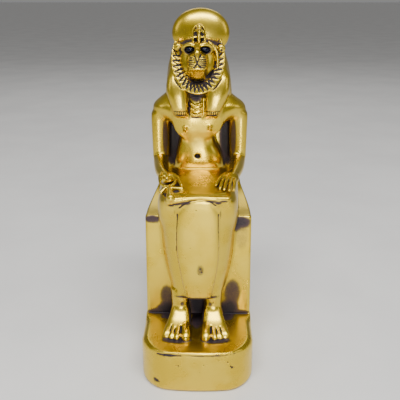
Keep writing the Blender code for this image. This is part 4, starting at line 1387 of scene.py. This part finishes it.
@dataclass(frozen=True)
class Crown:
    """Sun disc behind the head with the cobra in front of it."""

    hood: Rows = (
        (108.8, 0.05, 1.9, 5.7, 7.7), (110.3, 0.05, 2.1, 5.7, 7.7), (111.4, 0.05, 2.25, 5.9, 7.9),
        (112.6, 0.05, 2.2, 6.1, 8.1), (113.8, 0.08, 1.95, 6.4, 8.4), (114.6, 0.12, 1.4, 6.7, 8.7),
        (115.25, 0.15, 0.6, 6.9, 8.9))
    strip: Path = (
        (3.4, 6.7, 109.5, 0.42), (4.7, 6.7, 108.5, 0.42), (5.9, 6.7, 106.3, 0.42),
        (6.15, 6.7, 103.9, 0.42), (6.1, 6.5, 101.4, 0.4), (5.1, 6.2, 99.1, 0.34))
    rim: tuple[Point, ...] = (
        (1.75, 5.6, 109.2), (1.95, 5.65, 110.6), (2.05, 5.8, 112.2), (1.85, 6.1, 113.5), (1.1, 6.4, 114.6))
    hollows: tuple[tuple[float, float, float, float], ...] = (
        (-1.05, 112.4, 0.5, 0.75), (1.05, 112.3, 0.55, 0.8), (-1.1, 110.25, 0.5, 0.55),
        (0.95, 110.25, 0.45, 0.55))
    # Painted shadow where the head and the cobra meet the disc (the first four and the last two); the others
    # darken the hood's hollows, the line across it and the cobra's foot.
    stains_and_shade: tuple[StainAndShade, ...] = (
        StainAndShade((-3.6, 9.6, 109.2), (2.2, 2.0, 1.2), 0.95), StainAndShade((4.0, 9.8, 109.2), (2.6, 2.0, 1.2), 0.9),
        StainAndShade((-2.5, 9.0, 110.6), (0.8, 2.4, 1.4), 0.9), StainAndShade((2.7, 9.0, 111.4), (0.8, 2.4, 2.2), 0.9),
        StainAndShade((-1.05, 6.2, 111.7), (0.55, 0.8, 1.1), 0.75), StainAndShade((1.1, 6.2, 111.7), (0.55, 0.8, 1.1), 0.8),
        StainAndShade((0.2, 5.6, 113.4), (0.9, 0.8, 0.25), 0.5), StainAndShade((0.0, 6.0, 109.6), (1.8, 1.0, 0.5), 0.3),
        StainAndShade((-6.6, 11.0, 108.8), (2.4, 2.0, 0.7), 0.6), StainAndShade((7.2, 11.0, 108.8), (2.4, 2.0, 0.7), 0.6))

    def shape(self, clay: Clay) -> None:
        """Add the disc, the cobra and the strip beside the face.

        Args:
            clay: Clay that the forms are added to.
        """
        clay.add(Ball((0.45, 15.6, 112.1), (9.75, 4.1, 7.95), (-4, 0, 0)))
        root = ((105.0, 0.4, 6.0, 10.5, 20.0), (110.0, 0.4, 6.6, 12.0, 19.6), (112.0, 0.4, 4.0, 13.0, 18.6))
        clay.add(Loft(root), 0.5)
        clay.add(Loft(self.hood, 2.4))
        stalk = ((0.05, 5.6, 109.4, 0.55), (0.05, 5.4, 111.6, 0.5), (0.1, 5.5, 113.2, 0.55),
                 (0.15, 5.3, 114.2, 0.8), (0.15, 5.6, 114.7, 0.6))
        clay.add(Limb(through(stalk)), 0.1)
        clay.add(Limb(((0.15, 8.0, 109.6, 1.2), (0.15, 13.0, 111.0, 1.2))), 0.3)
        for side in (-1, 1):
            clay.add(Limb(through([(0.05 + side * x, y, z, 0.32) for x, y, z in self.rim])), 0.1)
        clay.add(Limb(((-1.9, 5.75, 111.2, 0.34), (2.0, 5.75, 111.3, 0.34))), 0.1)
        clay.add(Limb(through(self.strip)), 0.1)

    def carve(self, clay: Clay) -> None:
        """Sink the hood's four hollows and the line round it.

        Args:
            clay: Clay that is cut.
        """
        for x, z, wide, tall in self.hollows:
            clay.cut(Ball((x, 5.8, z), (wide, 0.9, tall)), 0.1)
        clay.cut(Limb(((-0.7, 5.05, 113.45, 0.14), (1.0, 5.05, 113.4, 0.14))), 0.05)
        for side in (-1, 1):
            edge = ((2.55, 7.4, 109.8, 0.2), (2.6, 7.4, 111.6, 0.2), (2.5, 7.6, 113.0, 0.18),
                    (1.9, 8.0, 114.4, 0.16))
            clay.cut(Limb([(0.05 + side * x, y, z, r) for x, y, z, r in edge]), 0.1)


# Finishes

class Value:
    """Socket of a shader tree that takes part in Python sums."""

    def __init__(self, tree: "Tree", socket: bpy.types.NodeSocket) -> None:
        """Wrap a socket of a tree."""
        self.tree = tree
        self.socket = socket

    def sum_with(self, operation: str, *others: Union["Value", Number]) -> "Value":
        """Result of a Math node on this value and others."""
        inputs = {i: other for i, other in enumerate((self, *others))}
        return self.tree.add("ShaderNodeMath", {"operation": operation}, inputs)

    def __add__(self, other: Union["Value", Number]) -> "Value":
        """Sum."""
        return self.sum_with("ADD", other)

    __radd__ = __add__

    def __mul__(self, other: Union["Value", Number]) -> "Value":
        """Product."""
        return self.sum_with("MULTIPLY", other)

    __rmul__ = __mul__

    def __sub__(self, other: Union["Value", Number]) -> "Value":
        """Difference."""
        return self.sum_with("SUBTRACT", other)

    def __rsub__(self, other: Number) -> "Value":
        """Difference from a number."""
        return self.tree.add("ShaderNodeMath", {"operation": "SUBTRACT"}, {0: other, 1: self})

    def clamped(self) -> "Value":
        """Value held between 0 and 1."""
        return self.tree.add("ShaderNodeClamp", {}, {0: self, 1: 0.0, 2: 1.0})

    def step(self, low: float, high: float) -> "Value":
        """Smooth step from 0 at low to 1 at high."""
        settings = {"interpolation_type": "SMOOTHSTEP"}
        return self.tree.add("ShaderNodeMapRange", settings, {0: self, 1: low, 2: high, 3: 0.0, 4: 1.0})


class Tree:
    """Node tree of one material."""

    def __init__(self, name: str) -> None:
        """Start a material with its own Principled shader."""
        self.material = bpy.data.materials.new(name)
        self.material.use_nodes = True
        self.nodes = self.material.node_tree.nodes
        self.shader = self.nodes["Principled BSDF"]

    def add(self, kind: str, settings: dict, inputs: dict, out: Union[int, str] = 0) -> Value:
        """Add a node.

        Args:
            kind: The node's type.
            settings: Its properties, set first.
            inputs: Values or links of its sockets, by number or name.
            out: Socket that is handed back.

        Returns:
            The chosen output.
        """
        node = self.nodes.new(kind)
        for name, value in settings.items():
            setattr(node, name, value)
        for name, value in inputs.items():
            self.feed(node.inputs[name], value)
        return Value(self, node.outputs[out])

    def feed(self, socket: bpy.types.NodeSocket, value: Union[Value, Number, tuple]) -> None:
        """Link a value to a socket, or set the socket."""
        if isinstance(value, Value):
            self.material.node_tree.links.new(value.socket, socket)
        else:
            socket.default_value = value

    def surface(self, **sockets: Union[Value, Number, tuple]) -> None:
        """Feed the shader's sockets; an underscore stands for a space."""
        for name, value in sockets.items():
            self.feed(self.shader.inputs[name.replace("_", " ")], value)

    def where(self) -> Value:
        """The object's own coordinates, in metres."""
        return self.add("ShaderNodeTexCoord", {}, {}, "Object")

    def grain(self, scale: float, detail: float = 3.0, distortion: float = 0.0) -> Value:
        """Noise over the surface with features about 1 / scale metres across."""
        inputs = {"Vector": self.where(), "Scale": scale, "Detail": detail, "Distortion": distortion}
        return self.add("ShaderNodeTexNoise", {}, inputs, 0)

    def mix(self, share: Union[Value, Number], a: Union[Value, tuple], b: Union[Value, tuple]) -> Value:
        """Colour between a and b."""
        settings = {"data_type": "RGBA"}
        return self.add("ShaderNodeMix", settings, {0: share, 6: a, 7: b}, 2)

    def attribute(self, name: str) -> Value:
        """Value stored on the mesh's points."""
        return self.add("ShaderNodeAttribute", {"attribute_name": name}, {}, "Fac")


@dataclass(frozen=True)
class Gilding:
    """Polished gilding over cast brass, darkened in the hollows by patina and painted shade."""

    gold: tuple = (0.67, 0.465, 0.028, 1.0)
    pale: tuple = (0.73, 0.53, 0.052, 1.0)
    brown: tuple = (0.15, 0.11, 0.045, 1.0)
    dark: tuple = (0.050, 0.026, 0.030, 1.0)
    black: tuple = (0.012, 0.007, 0.012, 1.0)
    rough: float = 0.22

    def material(self) -> bpy.types.Material:
        """Node material."""
        tree = Tree("polished_gilding")
        cloud = tree.grain(120.0, 4.0)
        speck = tree.grain(2200.0, 3.0)
        fleck = tree.grain(900.0, 2.0)
        wave = tree.grain(420.0, 2.0)
        # Painted shade with patina: the stored darkening turns the gold brown, dark and black in hollows,
        # gaps, painted shadows and painted dark reflections.
        laid = tree.attribute("patina_and_shade")
        patina_and_shade_share = (laid + laid * (speck - 0.5) * 0.6 + (fleck.step(0.70, 0.80) * 0.14)).clamped()
        metal = tree.mix(cloud.step(0.35, 0.65), self.gold, self.pale)
        colour = tree.mix(patina_and_shade_share.step(0.10, 0.45), metal, self.brown)
        colour = tree.mix(patina_and_shade_share.step(0.35, 0.72), colour, self.dark)
        colour = tree.mix(patina_and_shade_share.step(0.65, 1.0), colour, self.black)
        rough = self.rough + cloud * 0.12 + patina_and_shade_share * 0.35
        height = speck * 0.25 + wave
        bump = tree.add("ShaderNodeBump", {}, {"Strength": 0.2, "Distance": 0.00012, "Height": height})
        metallic = 1.0 - patina_and_shade_share.step(0.3, 0.9) * 0.8
        tree.surface(Base_Color=colour, Metallic=metallic, Roughness=rough, Normal=bump)
        return tree.material


@dataclass(frozen=True)
class EyeStoneFinish:
    """Polished blue-black stone."""

    deep: tuple = (0.002, 0.002, 0.006, 1.0)
    light: tuple = (0.004, 0.008, 0.035, 1.0)

    def material(self) -> bpy.types.Material:
        """Node material."""
        tree = Tree("blue_stone")
        vein = tree.grain(1500.0, 4.0, 0.6)
        colour = tree.mix(vein.step(0.45, 0.7), self.deep, self.light)
        tree.surface(Base_Color=colour, Roughness=0.06 + vein * 0.05, Specular_IOR_Level=0.2)
        return tree.material


@dataclass(frozen=True)
class FloorFinish:
    """Plain pale floor."""

    light: tuple = (0.80, 0.79, 0.77, 1.0)
    shade: tuple = (0.74, 0.73, 0.715, 1.0)

    def material(self) -> bpy.types.Material:
        """Node material."""
        tree = Tree("pale_floor")
        cloud = tree.grain(18.0, 5.0)
        fine = tree.grain(900.0, 3.0)
        bump = tree.add("ShaderNodeBump", {}, {"Strength": 0.1, "Distance": 0.0002, "Height": fine})
        tree.surface(Base_Color=tree.mix(cloud.step(0.3, 0.7), self.light, self.shade),
                     Roughness=0.62 + cloud * 0.15, Normal=bump)
        return tree.material


# Pieces

@dataclass
class Casting:
    """The figure, throne and plinth, cast as one solid.

    Args:
        node: CAD node that it stands for.
        triangles: Triangles of the thinned skin.
        finish: Its finish.
        parts: What it is modelled from, in order.
        rays: Directions tried from each point to find the hollows.
        reach: How far they look, in figure millimetres.
        close: Distance that counts as a narrow gap.
    """

    node: str = "cast_statue"
    triangles: int = 165000
    finish: Gilding = Gilding()
    parts: tuple[Part, ...] = field(default_factory=lambda: (
        Base(), Torso(), Dress(), Feet(), Wig(), Necklace(), Face(), Mane(), Crown(), Arms()))

    rays: int = 18
    reach: float = 5.0
    close: float = 0.9

    def scale(self) -> float:
        """Metres to a figure millimetre."""
        low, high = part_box(self.node)
        return (high.z - low.z) / FIGURE_HEIGHT_MM

    def model(self, eyes: Iterable["EyeStone"]) -> tuple[Clay, Array, Array]:
        """Model the whole casting and take its skin.

        Args:
            eyes: Stones whose sockets are sunk.

        Returns:
            The clay, points in figure millimetres, and quads.
        """
        clay = Clay(1.0)
        for part in self.parts:
            part.shape(clay)
        clay.set_hard()
        for part in self.parts:
            part.carve(clay)
            LOG.info("modelled %s", type(part).__name__)
        for eye in eyes:
            clay.cut(eye.socket(), 0.1)
        points, quads = clay.skin()
        LOG.info("skin of %d quads", len(quads))
        points = relax(points, quads, 2)
        points[:, 2] = np.maximum(points[:, 2], 0.0)
        return clay, points, quads

    def build(self, eyes: Iterable["EyeStone"]) -> bpy.types.Object:
        """Make the casting.

        Args:
            eyes: Stones whose sockets are sunk.

        Returns:
            The finished piece.
        """
        clay, points, quads = self.model(eyes)
        item = make_object("statue_casting", points * self.scale(), quads)
        thin = item.modifiers.new("Thin", "DECIMATE")
        thin.ratio = min(1.0, self.triangles / (2 * len(quads)))
        graph = bpy.context.evaluated_depsgraph_get()
        mesh = bpy.data.meshes.new_from_object(item.evaluated_get(graph))
        item.modifiers.clear()
        item.data = mesh
        self.split_long(mesh)
        mesh.shade_smooth()
        LOG.info("casting of %d triangles", len(mesh.polygons))
        self.tone(mesh, clay)
        item.data.materials.append(self.finish.material())
        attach(item, "root")
        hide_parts(self.node)
        LOG.info("casting has %d triangles", len(mesh.polygons))
        return item

    def split_long(self, mesh: bpy.types.Mesh, longest: float = 1.6) -> None:
        """Split the long edges of flat faces, so that the toning has points to lie on.

        Args:
            mesh: The thinned skin.
            longest: Longest edge left, in figure millimetres.
        """
        limit = longest * self.scale()
        work = bmesh.new()
        work.from_mesh(mesh)
        for _ in range(5):
            edges = [edge for edge in work.edges if edge.calc_length() > limit]
            bmesh.ops.subdivide_edges(work, edges=edges, cuts=1)
            bmesh.ops.triangulate(work, faces=[face for face in work.faces if len(face.verts) > 3])
        work.to_mesh(mesh)
        work.free()

    def shut_in(self, mesh: bpy.types.Mesh) -> tuple[Array, Array]:
        """Share of the view that the statue itself hides from each point, far and near.

        Args:
            mesh: The finished skin.

        Returns:
            The far share and the near share, for each point.
        """
        scale = self.scale()
        tree = BVHTree.FromPolygons([v.co for v in mesh.vertices], [p.vertices for p in mesh.polygons])
        spread = fan(self.rays)
        near = np.zeros(len(mesh.vertices))
        far = np.zeros(len(mesh.vertices))
        reach = self.reach * scale
        close = self.close * scale
        for i, vertex in enumerate(mesh.vertices):
            normal = vertex.normal
            start = vertex.co + normal * (0.06 * scale)
            turn = normal.to_track_quat("Z", "Y").to_matrix()
            lengths = [tree.ray_cast(start, turn @ way, reach)[3] for way in spread]
            far[i] = sum(length is not None for length in lengths) / len(spread)
            near[i] = sum(length is not None and length < close for length in lengths) / len(spread)
        return far, near

    def tone(self, mesh: bpy.types.Mesh, clay: Clay) -> None:
        """Store how dark the patina and painted shade lie at each point.

        Args:
            mesh: The finished skin.
            clay: The clay that it was taken from.
        """
        places = np.empty(3 * len(mesh.vertices), np.float32)
        mesh.vertices.foreach_get("co", places)
        places = places.reshape(-1, 3) / self.scale()
        far, near = self.shut_in(mesh)
        carved = clay.depth_carved(places)
        clear_of_patina_and_shade = np.ones(len(places))
        # Painted shade: rays that the statue blocks (far, weaker below the lap) and narrow gaps (near) darken
        # the colour as ambient occlusion; the carved lines hold patina.
        above = 0.25 + 0.75 * ramp(places[:, 2], 58.0, 66.0)
        for share in (ramp(far, 0.70, 0.95) * 0.8 * above, ramp(near, 0.30, 0.62) * 0.9,
                      ramp(carved, 0.04, 0.18)):
            clear_of_patina_and_shade *= 1 - share
        # The patches add marks of the metal and painted shadow, painted shade and painted dark reflection.
        for part in self.parts:
            for dark_patch in part.stains_and_shade:
                clear_of_patina_and_shade *= 1 - dark_patch.share(places)
        layer = mesh.attributes.new("patina_and_shade", "FLOAT", "POINT")
        layer.data.foreach_set("value", (1 - clear_of_patina_and_shade).astype(np.float32))


@dataclass(frozen=True)
class EyeStone:
    """One inlaid eye.

    Args:
        node: CAD node that it stands for.
        side: -1 for her right eye, 1 for her left.
        length: Width of the stone in figure millimetres.
        height: Its height.
        depth: Its depth.
        gap: Gap left in the socket around it.
    """

    node: str
    side: int
    length: float = 2.8
    height: float = 1.7
    depth: float = 2.0
    gap: float = 0.3

    def place(self) -> Point:
        """Middle of the stone."""
        return FACE_X + self.side * 2.5, 3.9 + self.depth / 2 - 0.3, 107.45

    def tilt(self) -> Point:
        """Turn of the stone in degrees."""
        return 0.0, self.side * 6.0, self.side * 14.0

    def socket(self) -> Ball:
        """Form of its socket."""
        half = (self.length / 2 + self.gap, self.depth / 2 + self.gap, self.height / 2 + self.gap)
        return Ball(self.place(), half, self.tilt())

    def build(self, scale: float) -> bpy.types.Object:
        """Make the stone.

        Args:
            scale: Metres to a figure millimetre.

        Returns:
            The finished piece.
        """
        around, rings = 48, 24
        points, quads = [], []
        half = (self.length / 2, self.depth / 2, self.height / 2)
        turn = Ball(self.place(), half, self.tilt()).turn().transposed()
        for i in range(rings + 1):
            down = math.pi * (i + 0.02) / (rings + 0.04)
            for k in range(around):
                a = 2 * math.pi * k / around
                own = Vector((half[0] * math.sin(down) * math.cos(a), half[1] * math.sin(down) * math.sin(a),
                              half[2] * math.cos(down)))
                points.append((Vector(self.place()) + turn @ own) * scale)
        for i in range(rings):
            for k in range(around):
                j = (k + 1) % around
                quads.append((i * around + k, (i + 1) * around + k, (i + 1) * around + j, i * around + j))
        item = make_object(self.node + "_polished", np.array(points), np.array(quads))
        item.data.materials.append(EyeStoneFinish().material())
        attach(item, "root")
        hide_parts(self.node)
        return item


def ramp(values: Array, low: float, high: float) -> Array:
    """Smooth step from 0 at low to 1 at high."""
    t = np.clip((values - low) / (high - low), 0.0, 1.0)
    return t * t * (3 - 2 * t)


def fan(count: int) -> list[Vector]:
    """Directions spread evenly over a half ball around +Z.

    Args:
        count: Number of directions.

    Returns:
        The directions, each of length one.
    """
    ways = []
    for k in range(count):
        up = (k + 0.5) / count
        out = math.sqrt(1 - up * up)
        a = k * math.pi * (3 - math.sqrt(5))
        ways.append(Vector((out * math.cos(a), out * math.sin(a), up)))
    return ways


def make_object(name: str, points: Array, quads: Array) -> bpy.types.Object:
    """Mesh object from points and quads.

    Args:
        name: Name of the object.
        points: Points in metres.
        quads: Four point numbers to a face.

    Returns:
        The object, smooth shaded and linked to the scene.
    """
    mesh = bpy.data.meshes.new(name)
    mesh.vertices.add(len(points))
    mesh.vertices.foreach_set("co", np.asarray(points, np.float32).ravel())
    mesh.loops.add(quads.size)
    mesh.loops.foreach_set("vertex_index", quads.astype(np.int32).ravel())
    mesh.polygons.add(len(quads))
    mesh.polygons.foreach_set("loop_start", np.arange(0, quads.size, 4, dtype=np.int32))
    mesh.update(calc_edges=True)
    mesh.validate()
    mesh.shade_smooth()
    item = bpy.data.objects.new(name, mesh)
    bpy.context.scene.collection.objects.link(item)
    return item


@dataclass(frozen=True)
class SoftBox:
    """Soft light with its place given round the statue.

    Args:
        name: Name of the light.
        azimuth: Degrees from the front, towards her left.
        height: Degrees above the floor.
        away: Metres from the statue's middle.
        width: Width of the box in metres.
        length: Height of the box in metres.
        power: Watts.
        colour: Colour of its light.
    """

    name: str
    azimuth: float
    height: float
    away: float
    width: float
    length: float
    power: float
    colour: tuple = (1.0, 1.0, 1.0)

    def build(self, target: Vector) -> bpy.types.Object:
        """Hang the box so that it faces the target.

        Args:
            target: Point that it faces.

        Returns:
            The light.
        """
        light = bpy.data.lights.new(self.name, "AREA")
        light.shape = "RECTANGLE"
        light.size = self.width
        light.size_y = self.length
        light.energy = self.power
        light.color = self.colour
        item = bpy.data.objects.new(self.name, light)
        a, e = math.radians(self.azimuth), math.radians(self.height)
        way = Vector((math.sin(a) * math.cos(e), -math.cos(a) * math.cos(e), math.sin(e)))
        item.location = target + way * self.away
        item.rotation_euler = (-way).to_track_quat("-Z", "Y").to_euler()
        bpy.context.scene.collection.objects.link(item)
        return item


@dataclass(frozen=True)
class Studio:
    """Floor, light and camera.

    Args:
        lens: Focal length for a 36 mm wide frame.
        eye: Place of the camera in figure millimetres.
        target: Point it looks at.
        boxes: The soft lights.
    """

    lens: float = 49.5
    eye: Point = (4.260, -178.872, 122.510)
    target: Point = (0.513, 0.0, 57.39)
    boxes: tuple[SoftBox, ...] = (
        SoftBox("overhead", 6.0, 62.0, 0.60, 0.60, 0.14, 5.0),
        SoftBox("cloud", 0.0, 50.0, 1.00, 1.40, 0.70, 0.5),
        SoftBox("front_strip", 4.0, 2.0, 0.23, 0.024, 0.10, 0.26),
        SoftBox("left_side", -72.0, 28.0, 0.70, 0.16, 0.40, 0.4, (1.0, 0.95, 0.86)),
        SoftBox("right_side", 76.0, 24.0, 0.70, 0.16, 0.40, 0.4, (1.0, 0.95, 0.86)),
        SoftBox("back", 180.0, 40.0, 0.80, 0.60, 0.30, 1.0))
    floor_half: float = 30.0
    dusk: tuple = (0.25, 0.25, 0.25, 1.0)

    def build(self, scale: float) -> None:
        """Set up the scene around the statue.

        Args:
            scale: Metres to a figure millimetre.
        """
        middle = Vector(self.target) * scale
        for box in self.boxes:
            box.build(middle)
        h = self.floor_half
        points = np.array([(-h, -h, 0), (h, -h, 0), (h, h, 0), (-h, h, 0)], float)
        floor = make_object("floor", points, np.array([[0, 1, 2, 3]]))
        floor.data.materials.append(FloorFinish().material())
        world = bpy.data.worlds.new("studio")
        world.use_nodes = True
        world.node_tree.nodes["Background"].inputs["Color"].default_value = self.dusk
        bpy.context.scene.world = world
        camera = bpy.data.cameras.new("camera")
        camera.lens = self.lens
        camera.sensor_width = 36.0
        camera.clip_start = 0.005
        item = bpy.data.objects.new("camera", camera)
        item.location = Vector(self.eye) * scale
        item.rotation_euler = (middle - item.location).to_track_quat("-Z", "Y").to_euler()
        bpy.context.scene.collection.objects.link(item)
        bpy.context.scene.camera = item


def main() -> None:
    """Build the statue and the studio, and note the size."""
    logging.basicConfig(level=logging.INFO, format="%(message)s")
    eyes = (EyeStone("right_eye_stone", -1), EyeStone("left_eye_stone", 1))
    casting = Casting()
    Studio().build(casting.scale())
    casting.build(eyes)
    for eye in eyes:
        LOG.info("set %s", eye.build(casting.scale()).name)


if __name__ == "__main__":
    main()
